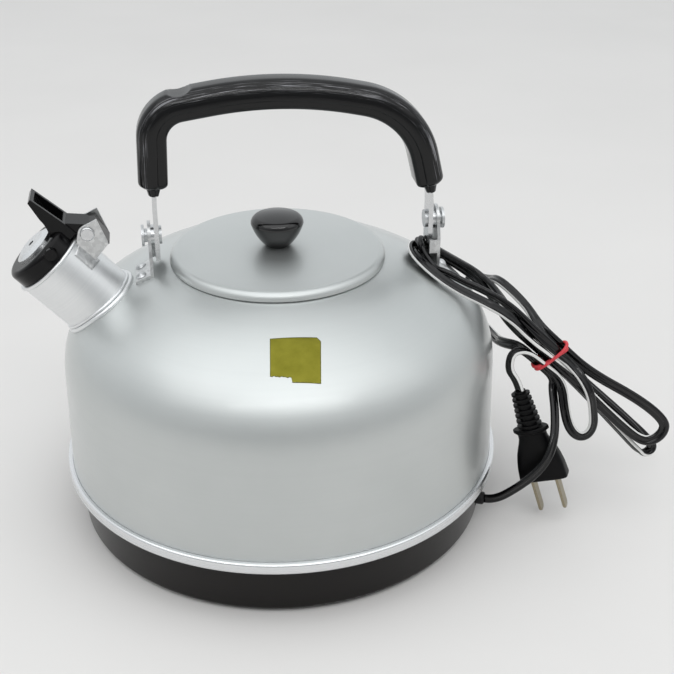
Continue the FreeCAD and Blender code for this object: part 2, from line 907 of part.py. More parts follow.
def spout_collar():
    """The flange round the spout that follows the shoulder."""
    column = cylinder(spout_radius + collar_width, 4 * spout_length, Vector(0, 0, -2 * spout_length))
    column = column.cut(cylinder(spout_radius + fit, 4 * spout_length, Vector(0, 0, -2 * spout_length)))
    spout_side = box((-2 * wall_radius, -wall_radius, wall_foot), (0, wall_radius, 2 * wall_radius))
    return under_skin(collar_height).common(on_spout(column)).common(spout_side)


def whistle_bracket():
    """A folded sheet bracket on the spout: two cheeks with rivet lobes and peaks, and a saddle."""
    outer = cheek_gap / 2 + cheek_sheet
    tube = spout_radius + fit
    low = math.sqrt(tube ** 2 - outer ** 2) - spout_wall
    lobe = (pivot_off + lobe_radius * sine(lobe_open), pivot_along + lobe_radius * cosine(lobe_open))
    front = (pivot_off - lobe_radius * sine(lobe_open), pivot_along + lobe_radius * cosine(lobe_open))
    steps = [(low, bracket_back), (low, bracket_front), front,
             ("arc", (pivot_off, pivot_along + lobe_radius), lobe),
             (peak_off, peak_along), (heel_off, heel_along)]
    sides = slab(steps, outer).cut(slab(steps, cheek_gap / 2))
    saddle_back = bracket_front - saddle_length
    saddle = cylinder(tube + cheek_sheet, saddle_length, Vector(0, 0, saddle_back))
    saddle = saddle.common(box((0, -outer, saddle_back), (2 * tube, outer, bracket_front)))
    bracket = fused([sides, saddle])
    spout = cylinder(tube, 2 * spout_length, ORIGIN)
    lip = cylinder(tube + lip_width, spout_length, Vector(0, 0, spout_length - lip_height - fit))
    bore = cylinder(pin_radius + pin_fit, 4 * outer, Vector(pivot_off, -2 * outer, pivot_along), Y_AXIS)
    return on_spout(bracket.cut([spout, lip, bore]))


def hinge_pin():
    """The rivet that the whistle's lever turns on."""
    outer = cheek_gap / 2 + cheek_sheet + pin_fit
    centre = Vector(pivot_off, 0, pivot_along)
    shank = cylinder(pin_radius, 2 * outer, centre - Y_AXIS * outer, Y_AXIS)
    heads = []
    for way in (-1, 1):
        head = cylinder(pin_head_radius, pin_head_height, centre + Y_AXIS * way * outer, Y_AXIS * way)
        rim = [edge for edge in head.Edges if abs(abs(edge.CenterOfMass.y) - outer - pin_head_height) < 1e-6]
        heads.append(head.makeFillet(pin_head_round, rim))
    return on_spout(fused([shank] + heads))


cap_foot = spout_length + seat_gap
cap_top = cap_foot + cap_height


def cap_block():
    """The cap's outer form: a spigot in the mouth under a rounded puck."""
    spigot = spout_radius - spout_wall - 2 * seat_gap
    steps = [(0, cap_foot - cap_spigot), (spigot, cap_foot - cap_spigot), (spigot, cap_foot),
             (cap_radius, cap_foot), (cap_radius, cap_top - cap_round),
             ("arc", round_point((cap_radius - cap_round, cap_top - cap_round), cap_round, 45),
              (cap_radius - cap_round, cap_top)), (0, cap_top)]
    return turned(steps)


def whistle_cap():
    """The moulded cap on the mouth, bored for the whistle, with a round boss on each side."""
    boss_reach = math.sqrt(cap_radius ** 2 - boss_off ** 2)
    bosses = []
    for way in (-1, 1):
        start = Vector(boss_off, way * (boss_reach - boss_root), cap_foot + boss_height)
        bosses.append(cylinder(boss_radius, boss_root + boss_proud, start, Y_AXIS * way))
    cap = fused([cap_block()] + bosses)
    return on_spout(cap.cut(cylinder(cap_bore, 3 * cap_height, Vector(0, 0, cap_foot - cap_height))))


def whistle_disc():
    """The dished outer disc of the whistle, with its hole, on the cap's face."""
    rim = cap_top
    top = cap_top + disc_height
    under = top - disc_sheet
    steps = [(whistle_hole, under), (disc_crown, under), (disc_radius - disc_sheet, rim),
             (disc_radius, rim), (disc_radius, rim + disc_rim), (disc_crown, top), (whistle_hole, top)]
    return on_spout(turned(steps))


def whistle_plate():
    """The inner disc of the whistle, in the cap's bore."""
    plate = cylinder(cap_bore - pin_fit, disc_sheet, Vector(0, 0, cap_foot))
    hole = cylinder(whistle_hole, 3 * disc_sheet, Vector(0, 0, cap_foot - disc_sheet))
    return on_spout(plate.cut(hole))


def whistle_lever():
    """The moulded lever: hub between the cheeks, tail behind it, thumb channel ahead of it."""
    half = lever_width / 2
    hub_half = cheek_gap / 2 - seat_gap
    neck = cap_foot + lever_neck
    root = cap_top + lever_root
    back = cap_top - lever_back
    bend = cap_top + lever_bend_along
    shelf = disc_radius + seat_gap
    arm_steps = [(shelf, neck), (lever_root_off, neck), (lever_root_off, back), (lever_top_off, lever_reach),
                 (lever_top_off - lever_tip, lever_reach - lever_tip_lean), (lever_bend_off, bend),
                 ("arc", (lever_throat_off, cap_top + lever_throat_along), (shelf, cap_top))]
    arm = slab(arm_steps, half)
    pocket_end = lever_reach - lever_side
    pocket_floor = lever_bend_off + lever_floor
    pocket_top = lever_root_off + lever_side
    pocket_steps = [(pocket_top, root), (pocket_top, pocket_end),
                    (lever_top_off - lever_tip_edge, pocket_end), (pocket_floor, bend), (pocket_floor, root)]
    arm = arm.cut(slab(pocket_steps, half - lever_side))
    hub = cylinder(hub_radius, 2 * hub_half, Vector(pivot_off, -hub_half, pivot_along), Y_AXIS)
    spoke = hub_radius * cosine(45)
    bridge_steps = [(pivot_off - spoke, pivot_along + spoke),
                    (lever_root_off - bridge_depth, neck + bridge_start),
                    (lever_root_off, back + bridge_start), (pivot_off + spoke, pivot_along + spoke)]
    bridge = slab(bridge_steps, hub_half)
    tail_steps = [(pivot_off, pivot_along + hub_radius),
                  (peak_off - tail_peak_inset, peak_along - tail_peak_drop),
                  (heel_off, heel_along - tail_heel_proud), (heel_off - tail_thickness, heel_along),
                  (pivot_off, pivot_along - hub_radius)]
    tail = slab(tail_steps, hub_half)
    lever = fused([arm, hub, bridge, tail]).cut(cap_block())
    bore = cylinder(pin_radius + pin_fit, 4 * half, Vector(pivot_off, -2 * half, pivot_along), Y_AXIS)
    rim = cylinder(spout_radius + lip_width + 2 * seat_gap, spout_length + seat_gap, ORIGIN)
    return on_spout(lever.cut([bore, rim]))


# Handle


front_strap_middle = -(front_ear_reach - washer_sheet - strap_sheet / 2)
rear_strap_middle = rear_ear_reach - washer_sheet - strap_sheet / 2
handle_front_top = (front_strap_middle + handle_front_lean, handle_front_height)
strap_foot = pivot_height - strap_tail
front_grip_end = (front_strap_middle, pivot_height + front_grip_rise)
rear_grip_end = (rear_strap_middle, pivot_height + rear_grip_rise)


def bail_line():
    """Edges of the bail's middle line from one foot over the crown to the other."""
    points = [(front_strap_middle, strap_foot), (front_strap_middle, handle_front_bend_height),
              handle_front_top, handle_crown, handle_rear_top,
              (rear_strap_middle, handle_rear_bend_height), (rear_strap_middle, strap_foot)]
    radii = [foot_bend_radius, front_bend_radius, crown_bend_radius, rear_bend_radius, foot_bend_radius]
    spots = [Vector(x, 0, z) for x, z in points]
    edges = []
    here = spots[0]
    for before, at, after, radius in zip(spots, spots[1:], spots[2:], radii):
        back = (before - at).normalize()
        ahead = (after - at).normalize()
        turn = math.pi - back.getAngle(ahead)
        reach = radius * math.tan(turn / 2)
        middle = at + (back + ahead).normalize() * (radius / math.cos(turn / 2) - radius)
        edges.append(Part.LineSegment(here, at + back * reach).toShape())
        edges.append(Part.Arc(at + back * reach, middle, at + ahead * reach).toShape())
        here = at + ahead * reach
    edges.append(Part.LineSegment(here, spots[-1]).toShape())
    return edges


def along_bail(section_steps):
    """A section of (depth, outward) points carried along the bail's middle line."""
    edges = bail_line()
    start = Vector(front_strap_middle, 0, strap_foot)
    wire = Part.Wire(profile_edges(section_steps, lambda p: start + Y_AXIS * p[0] - X_AXIS * p[1]))
    pipe = Part.BRepOffsetAPI.MakePipeShell(Part.Wire(edges))
    pipe.add(wire)
    pipe.setTransitionMode(1)
    pipe.build()
    pipe.makeSolid()
    return pipe.shape()


def handle_strap():
    """The flat steel bail, from ear to ear through the grip, with a rivet hole at each end."""
    half = strap_width / 2
    flat = strap_sheet / 2
    strap = along_bail([(-half, -flat), (half, -flat), (half, flat), (-half, flat)])
    reach = handle_span
    bore = cylinder(rivet_radius + pin_fit, 2 * reach, Vector(-reach, 0, pivot_height), X_AXIS)
    return strap.cut(bore)


def handle_grip():
    """The moulded grip: rounded back, stepped inner band, thumb notch and a nib at each end."""
    deep = grip_depth / 2
    high = grip_height / 2
    soft = grip_round * (1 - math.sqrt(0.5))
    step_at = grip_band - high
    inner = deep - grip_step
    ease = grip_band_round * (1 - math.sqrt(0.5))
    steps = [(-inner + grip_band_round, -high), (inner - grip_band_round, -high),
             ("arc", (inner - ease, ease - high), (inner, grip_band_round - high)), (inner, step_at),
             (deep, step_at), (deep, high - grip_round),
             ("arc", (deep - soft, high - soft), (deep - grip_round, high)), (grip_round - deep, high),
             ("arc", (soft - deep, high - soft), (-deep, high - grip_round)), (-deep, step_at),
             (-inner, step_at), (-inner, grip_band_round - high),
             ("arc", (ease - inner, ease - high), (-inner + grip_band_round, -high))]
    grip = along_bail(steps)
    reach = handle_span
    grip = grip.cut([box((-reach, -grip_depth, 0), (0, grip_depth, front_grip_end[1])),
                     box((0, -grip_depth, 0), (reach, grip_depth, rear_grip_end[1]))])
    nibs = [nib(front_grip_end), nib(rear_grip_end)]
    slot = strap_width / 2 + fit
    gap = strap_sheet / 2 + fit
    channel = along_bail([(-slot, -gap), (slot, -gap), (slot, gap), (-slot, gap)])
    top = notch_top()
    notch = cylinder(notch_radius, 2 * grip_depth,
                     Vector(notch_reach, -grip_depth, top - notch_depth + notch_radius), Y_AXIS)
    return fused([grip] + nibs).cut([channel, notch])


def notch_top():
    """Height of the grip's back over the thumb notch, on the straight run from front to crown."""
    run = handle_crown[0] - handle_front_top[0]
    lift = (handle_crown[1] - handle_front_top[1]) / run
    middle = handle_front_top[1] + (notch_reach - handle_front_top[0]) * lift
    return middle + grip_height / 2 * math.hypot(1, lift)


def nib(place):
    """The tapered end of the grip round the strap."""
    reach, foot = place
    wires = []
    for height, (wide, deep) in ((foot, nib_top), (foot - nib_length, nib_end)):
        corners = [(-wide, -deep), (wide, -deep), (wide, deep), (-wide, deep)]
        points = [Vector(reach + x / 2, y / 2, height) for x, y in corners]
        wires.append(Part.makePolygon(points + points[:1]))
    return Part.makeLoft(wires, True, True)


def pivot_sides():
    return ((-front_ear_reach, -1), (rear_ear_reach, 1))


def pivot_rivets():
    """Shouldered rivets through ear, washer and strap, with a wide outer head."""
    rivets = []
    for reach, side in pivot_sides():
        way = X_AXIS * side
        ear_face = Vector(reach + side * (ear_sheet + pin_fit), 0, pivot_height)
        strap_face = Vector(reach - side * (washer_sheet + strap_sheet + pin_fit), 0, pivot_height)
        shank = cylinder(rivet_radius, (ear_face - strap_face).Length, strap_face, way)
        collar = cylinder(rivet_collar_radius, rivet_collar, ear_face, way)
        head = cylinder(rivet_head_radius, rivet_head_height, ear_face + way * rivet_collar, way)
        inner = cylinder(rivet_tail_radius, rivet_head_height, strap_face, -way)
        rivets.append(fused([shank, collar, head, inner]))
    return Part.makeCompound(rivets)


def pivot_washers():
    """Spring washers that hold the strap off the ear and give the handle its drag."""
    washers = []
    for reach, side in pivot_sides():
        base = Vector(reach, 0, pivot_height)
        ring = cylinder(washer_radius, washer_sheet, base, X_AXIS * -side)
        washers.append(ring.cut(cylinder(rivet_radius + pin_fit, washer_sheet, base, X_AXIS * -side)))
    return Part.makeCompound(washers)


# Lead, hank and plug, placed across, in depth and in height in the plane that the hank hangs in


def hang(across, depth, height):
    return Vector(across * cosine(hank_turn) - depth * sine(hank_turn),
                  across * sine(hank_turn) + depth * cosine(hank_turn), height)


tie_way = hang(cosine(tie_slope), 0, -sine(tie_slope))
tie_side = hang(sine(tie_slope), 0, cosine(tie_slope))
tie_depth = hang(0, 1, 0)
tie_centre = hang(*tie_place)


def off_tie(across, depth, height):
    """A place measured from the middle of the band."""
    return tie_centre + hang(across, depth, height)


def off_ear(out, side, height):
    """A place measured from the foot of the rear ear's plate."""
    return Vector(rear_ear_reach + out, side, dome_height(rear_ear_reach) + height)


def tie_slot(index, end):
    """Where pass number index, counted from the lower side, enters (-1) or leaves (+1) the band."""
    row = 0.5 if index % 2 == 0 else -0.5
    side = tie_side * (tie_pitch * (index - 3))
    return tie_centre + side + tie_depth * (tie_rows * row) + tie_way * (end * tie_length / 2)


def round_end(middle, tip, side, radius):
    """Stations of a loop's half-round end: it points along tip, and is entered on this side."""
    tip = Vector(tip).normalize()
    side = (side - tip * side.dot(tip)).normalize()
    return [(middle + side * radius, tip), (middle + tip * radius, -side),
            (middle - side * radius, -tip)]


# Each loop of the hank: the pass that it leaves, the pass that it comes back to, the side of the band
# that it lies on, and the points and directions that it goes through
HANK_LOOPS = [
    (0, 6, -1, [(off_tie(-24.0, 23.0, -2.5), hang(-0.10, 0.99, 0.0))]
     + round_end(off_tie(-30.6, 60.0, 5.5), hang(-0.42, 0.88, -0.24), hang(0, 0, -1), 10.0)
     + [(off_tie(-16.8, 25.5, 23.3), hang(0.66, -0.60, -0.45))]),
    (6, 3, 1, round_end(off_tie(53.6, -2.0, -40.5), hang(0.75, 0, -0.66), hang(0.66, 0, 0.75), 8.2)),
    (3, 2, -1, [(off_tie(-30.3, -4.0, 29.5), hang(-0.885, 0.128, 0.451)),
                (off_ear(2.8, -21.5, 1.7), hang(-0.84, 0.22, 0.49)),
                (off_ear(-11.2, 0.0, 11.0), Vector(0, 1, 0)),
                (off_ear(-4.4, 15.6, 5.4), Vector(0.66, 0.56, -0.50)),
                (off_ear(12.7, 20.0, -5.9), Vector(0.84, -0.06, -0.54))]),
    (2, 4, 1, round_end(off_tie(54.4, 3.0, -55.5), hang(0.67, 0, -0.74), hang(-0.74, 0, -0.67), 4.0)),
    (4, 5, -1, [(off_ear(14.2, 14.6, -2.2), Vector(-0.86, 0.05, 0.51)),
                (off_ear(-1.4, 12.6, 8.4), Vector(-0.66, -0.52, 0.54)),
                (off_ear(-7.5, 1.0, 14.4), Vector(0, -0.98, -0.20)),
                (off_ear(-3.9, -9.2, 6.8), Vector(0.42, -0.72, -0.55)),
                (off_ear(5.4, -17.9, 4.2), hang(0.88, -0.15, -0.42)),
                (off_tie(-32.1, 3.5, 33.5), hang(0.885, -0.128, -0.451))]),
    (5, 1, 1, [(off_tie(18.4, -7.6, -13.0), hang(0.45, -0.25, -0.86))]
     + round_end(off_tie(16.2, -8.8, -33.7), hang(0.15, 0, -0.99), hang(1, 0, 0), 7.5)),
]


def hank_stations():
    """Points and directions that the hank's tube goes through, pass by pass and loop by loop."""
    stations = [(tie_slot(0, 1), -tie_way)]
    for out_slot, back_slot, end, loop in HANK_LOOPS:
        stations.append((tie_slot(out_slot, end), tie_way * end))
        stations += [(point, Vector(way).normalize()) for point, way in loop]
        stations.append((tie_slot(back_slot, end), tie_way * -end))
    stations.append((tie_slot(HANK_LOOPS[-1][1], -1), -tie_way))
    return stations


def hank_edges():
    stations = hank_stations()
    edges = []
    for (start, start_way), (end, end_way) in zip(stations, stations[1:]):
        if start_way.cross(end - start).Length < 1e-6:
            edges.append(Part.LineSegment(start, end).toShape())
        else:
            edges.extend(biarc(start, start_way, end, end_way))
    return edges


def least_gap(edges, diameter):
    """Least gap of a tube to itself, between points further apart along it than four diameters."""
    points = [point for edge in edges for point in edge.discretize(Number=max(2, int(edge.Length)))[:-1]]
    places = []
    travel = 0.0
    for first, second in zip(points, points[1:]):
        places.append((travel, first))
        travel += (second - first).Length
    least = min((second - first).Length
                for index, (start, first) in enumerate(places)
                for stop, second in places[index + 1:] if stop - start > 4 * diameter)
    return least - diameter


def cord_hank():
    """The tied hank: seven passes through the band and three loops on each side, one tube."""
    edges = hank_edges()
    tube = swept(edges, cord_radius, tie_slot(0, 1), -tie_way)
    length = sum(edge.Length for edge in edges)
    plain = math.pi * cord_radius ** 2 * length
    bends = [round(edge.Curve.Radius, 1) for edge in edges if hasattr(edge.Curve, "Radius")]
    print("cord_hank length", round(length, 1), "tightest", min(bends), "volume ratio",
          round(tube.Volume / plain, 4), "least gap to itself", round(least_gap(edges, 2 * cord_radius), 2))
    return tube


def cord_tie():
    """The rubber band round the hank's waist."""
    wide = 3 * tie_pitch + cord_radius + seat_gap
    deep = tie_rows / 2 + cord_radius + seat_gap
    round_in = cord_radius + seat_gap
    outer = band_loop(wide + band_sheet, deep + band_sheet, round_in + band_sheet)
    ring = outer.cut(band_loop(wide, deep, round_in))
    turn = FreeCAD.Rotation(tie_side, tie_depth, tie_side.cross(tie_depth), "XYZ")
    ring.Placement = FreeCAD.Placement(tie_centre - tie_side.cross(tie_depth) * (band_width / 2), turn)
    return ring


def band_loop(wide, deep, radius):
    """A block of the band's width with rounded corners."""
    block = box((-wide, -deep, 0), (wide, deep, band_width))
    corners = [edge for edge in block.Edges if abs(edge.CenterOfMass.z - band_width / 2) < 1e-6]
    return block.makeFillet(radius, corners)


exit_point = at_angle(base_top_radius + grommet_flange, exit_angle, exit_height)
exit_way = at_angle(1, exit_angle, 0)
plug_top = off_tie(-15.1, -8.0, -15.3)
plug_way = hang(21.5, -11.0, -66.0).normalize()


def base_lead():
    """The free stretch from the tray up to the band."""
    points = [exit_point, exit_point + exit_way * exit_run, exit_point + hang(15.6, -5.5, 10.6),
              exit_point + hang(24.1, -7.5, 20.5), exit_point + hang(30.1, -5.0, 29.5),
              off_tie(2.4, -17.0, -34.5), off_tie(3.4, -8.0, -26.0), off_tie(2.8, 0.5, -18.5),
              tie_slot(0, 1) + tie_way * tie_run, tie_slot(0, 1)]
    return lead_along("base_lead", points)


def plug_lead():
    """The free stretch from the band over to the plug."""
    points = [tie_slot(1, -1), tie_slot(1, -1) - tie_way * plug_run, off_tie(-19.8, -3.0, 4.5),
              off_tie(-21.4, -6.0, -4.0), plug_top - plug_way * plug_run, plug_top]
    return lead_along("plug_lead", points)


def cord_grommet():
    """The rubber bush in the tray's wall that the lead goes through."""
    inner = base_foot_radius - 3 * base_wall
    start = at_angle(inner, exit_angle, exit_height)
    seat = at_angle(base_top_radius, exit_angle, exit_height)
    body = cylinder(grommet_radius, base_top_radius - inner, start, exit_way)
    flange = cylinder(grommet_flange_radius, grommet_flange, seat, exit_way)
    return fused([body, flange])


plug_turn = FreeCAD.Rotation(hang(1, 0, 0), plug_way.cross(hang(1, 0, 0)), plug_way, "ZXY")
plug_place = FreeCAD.Placement(plug_top, plug_turn)


def on_plug(shape):
    """Carries a piece from the plug's own frame, Z from the lead to the blades, to its place."""
    shape.Placement = plug_place.multiply(shape.Placement)
    return shape


plug_foot = plug_relief_length + plug_collar_height


def plug_body():
    """The moulded plug: ribbed strain relief, collar and fan-shaped body."""
    pitch = plug_relief_length / plug_rib_count
    grow = (plug_relief_radius - plug_relief_top_radius) / plug_relief_length
    steps = [(0, 0)]
    for index in range(plug_rib_count):
        low = index * pitch
        core = plug_relief_top_radius + grow * low
        rib = core + plug_rib_depth
        rib_start = low + plug_rib_share * pitch
        steps += [(core, low), (core, rib_start), (rib, rib_start), (rib, low + pitch)]
    steps += [(plug_collar_radius, plug_relief_length), (plug_collar_radius, plug_foot), (0, plug_foot)]
    relief = turned(steps)
    end = plug_foot + plug_length
    neck = plug_neck_width / 2
    wide = plug_end_width / 2
    belly = plug_belly_width / 2
    root = plug_foot - plug_root
    bulge = plug_foot + plug_belly_height
    outline_steps = [(-neck, root), (neck, root), ("arc", (belly, bulge), (wide, end)), (-wide, end),
                     ("arc", (-belly, bulge), (-neck, root))]
    body = slab(outline_steps, plug_depth / 2)
    rims = [edge for edge in body.Edges
            if abs(abs(edge.CenterOfMass.y) - plug_depth / 2) < 1e-6 and edge.CenterOfMass.z > plug_foot]
    return on_plug(fused([relief, body.makeFillet(plug_round, rims)]))


def plug_blades():
    """Two flat blades at the standard pitch."""
    end = plug_foot + plug_length
    blades = []
    for side in (-1, 1):
        middle = side * blade_pitch / 2
        blade = box((middle - blade_sheet / 2, -blade_width / 2, end),
                    (middle + blade_sheet / 2, blade_width / 2, end + blade_length))
        corners = [edge for edge in blade.Edges if abs(edge.CenterOfMass.z - end - blade_length) < 1e-6
                   and abs(edge.CenterOfMass.x - middle) < 1e-6]
        blades.append(blade.makeFillet(blade_round, corners))
    return on_plug(Part.makeCompound(blades))


keep("kettle_shell", kettle_shell())
keep("vessel_bottom", vessel_bottom())
keep("base_housing", base_housing())
keep("base_feet", base_feet())
keep("base_pillars", base_pillars())
keep("base_screws", base_screws())
keep("heating_element", heating_element())
keep("element_clamp", element_clamp())
keep("clamp_stud", clamp_stud())
keep("clamp_nut", clamp_nut())
keep("thermal_cutout", thermal_cutout())
keep("terminal_block", terminal_block())
keep("inner_wires", inner_wires())
keep("lid_cover", lid_cover())
keep("lid_sleeve", lid_sleeve())
keep("lid_knob", lid_knob())
keep("knob_screw", knob_screw())
keep("spout_tube", spout_tube())
keep("spout_collar", spout_collar())
keep("whistle_bracket", whistle_bracket())
keep("hinge_pin", hinge_pin())
keep("whistle_cap", whistle_cap())
keep("whistle_disc", whistle_disc())
keep("whistle_plate", whistle_plate())
keep("whistle_lever", whistle_lever())
keep("front_ear", ear_plate(front_ear))
keep("rear_ear", ear_plate(rear_ear))
keep("front_ear_rivets", ear_rivets(front_ear))
keep("rear_ear_rivets", ear_rivets(rear_ear))
keep("pivot_rivets", pivot_rivets())
keep("pivot_washers", pivot_washers())
keep("handle_strap", handle_strap())
keep("handle_grip", handle_grip())
keep("cord_grommet", cord_grommet())
keep("base_lead", base_lead())
keep("cord_hank", cord_hank())
keep("plug_lead", plug_lead())
keep("cord_tie", cord_tie())
keep("plug_body", plug_body())
keep("plug_blades", plug_blades())
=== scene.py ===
import bpy
import numpy as np
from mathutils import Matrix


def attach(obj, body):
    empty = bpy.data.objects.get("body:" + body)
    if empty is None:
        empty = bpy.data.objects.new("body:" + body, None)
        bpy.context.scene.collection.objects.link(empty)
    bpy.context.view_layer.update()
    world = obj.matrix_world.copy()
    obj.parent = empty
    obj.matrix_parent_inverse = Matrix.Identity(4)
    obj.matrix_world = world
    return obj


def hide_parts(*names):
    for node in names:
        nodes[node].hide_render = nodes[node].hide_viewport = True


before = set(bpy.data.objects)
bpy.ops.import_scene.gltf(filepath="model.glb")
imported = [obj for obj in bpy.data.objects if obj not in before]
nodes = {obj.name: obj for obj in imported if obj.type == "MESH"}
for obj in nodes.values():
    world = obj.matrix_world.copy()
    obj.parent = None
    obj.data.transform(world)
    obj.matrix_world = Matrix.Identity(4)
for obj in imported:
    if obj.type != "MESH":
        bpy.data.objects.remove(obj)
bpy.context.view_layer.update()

# Camera and room: the kettle stands on a pale bench and is seen from the front, a little from the left
# and from above. A broad lamp hangs over its front, with a weak one on the right and a narrow strip that
# draws the lights on the black mouldings. The room is bright above and behind and dim in front.


def linear(colour):
    """Linear light of an sRGB colour written as six hexadecimal digits."""
    parts = np.array([int(colour[start:start + 2], 16) for start in (0, 2, 4)]) / 255
    bright = ((parts + 0.055) / 1.055) ** 2.4
    return (*np.where(parts <= 0.04045, parts / 12.92, bright), 1.0)


def add_node(tree, kind, settings, links):
    """Adds a shader node, sets its choices and its plain inputs, and links the other inputs."""
    node = tree.nodes.new("ShaderNode" + kind)
    for name, value in settings.items():
        if isinstance(name, int) or name in node.inputs.keys():
            node.inputs[name].default_value = value
        else:
            setattr(node, name, value)
    for name, socket in links.items():
        tree.links.new(socket, node.inputs[name])
    return node


def new_material(name, settings):
    """A material whose shader has these plain values, and that material's node tree and shader."""
    material = bpy.data.materials.new(name)
    material.use_nodes = True
    shader = material.node_tree.nodes["Principled BSDF"]
    for socket, value in settings.items():
        shader.inputs[socket].default_value = value
    return material, material.node_tree, shader


def mesh_object(name, points, faces, smooth=True):
    """An object from an array of points and an array of faces of four corners."""
    mesh = bpy.data.meshes.new(name)
    mesh.from_pydata(points.reshape(-1, 3), [], faces)
    mesh.polygons.foreach_set("use_smooth", np.full(len(mesh.polygons), smooth))
    mesh.validate()
    piece = bpy.data.objects.new(name, mesh)
    bpy.context.scene.collection.objects.link(piece)
    return piece


camera_data = bpy.data.cameras.new("camera")
camera_data.sensor_width = 36.0
camera_data.lens = 64.1
camera = bpy.data.objects.new("camera", camera_data)
camera.location = (-0.05537, -0.53444, 0.37891)
camera.rotation_euler = np.radians((90 - 28.29, 0, -9.0))
bpy.context.scene.collection.objects.link(camera)
bpy.context.scene.camera = camera
bpy.context.scene.view_settings.view_transform = "Standard"

# Pale matt laminate, so that the bench takes a soft shadow and shows hardly any gloss. Its tone drifts over
# patches 167 mm wide
bench, tree, shader = new_material("pale_laminate", {"Roughness": 0.75})
place = add_node(tree, "TexCoord", {}, {})
cloud = add_node(tree, "TexNoise", {"Scale": 1000 / 167, "Detail": 3.0},
                 {"Vector": place.outputs["Object"]})
tone = add_node(tree, "ValToRGB", {}, {"Fac": cloud.outputs["Fac"]})
tone.color_ramp.elements[0].color = linear("dbd9d7")
tone.color_ramp.elements[1].color = linear("e2e0de")
tree.links.new(tone.outputs["Color"], shader.inputs["Base Color"])
floor_points = np.array([(-4, -4, 0), (4, -4, 0), (4, 4, 0), (-4, 4, 0)], float)
floor = mesh_object("bench", floor_points, [(0, 1, 2, 3)], smooth=False)
floor.data.materials.append(bench)

world = bpy.data.worlds.new("room")
world.use_nodes = True
tree = world.node_tree
view = add_node(tree, "TexCoord", {}, {})
rise = add_node(tree, "VectorMath", {"operation": "DOT_PRODUCT", 1: (0.0, 0.62, 0.78)},
                {0: view.outputs["Generated"]})
level = add_node(tree, "MapRange", {"From Min": -0.6, "From Max": 0.6, "To Min": 0.34, "To Max": 1.0},
                 {"Value": rise.outputs["Value"]})
tree.nodes["Background"].inputs["Color"].default_value = linear("eef1f3")
tree.links.new(level.outputs["Result"], tree.nodes["Background"].inputs["Strength"])
bpy.context.scene.world = world

for name, spot, turn, size, power in (("key", (-0.30, -0.48, 1.50), (19, 0, -16), (2.6, 1.9), 11.5),
                                      ("fill", (1.05, -0.55, 0.95), (50, 0, 62), (0.8, 0.8), 1.0),
                                      ("strip", (0.0, -0.95, 1.05), (45, 0, 0), (1.3, 0.06), 2.0)):
    lamp_data = bpy.data.lights.new(name, "AREA")
    lamp_data.shape = "RECTANGLE"
    lamp_data.size = size[0]
    lamp_data.size_y = size[1]
    lamp_data.energy = power
    lamp = bpy.data.objects.new(name, lamp_data)
    lamp.location = spot
    lamp.rotation_euler = np.radians(turn)
    bpy.context.scene.collection.objects.link(lamp)

# Lead: flat twin cord in black vinyl, two cores side by side, with a white line printed along the edge of
# one core. It comes out of the base, runs through the band seven times and ends in the plug.

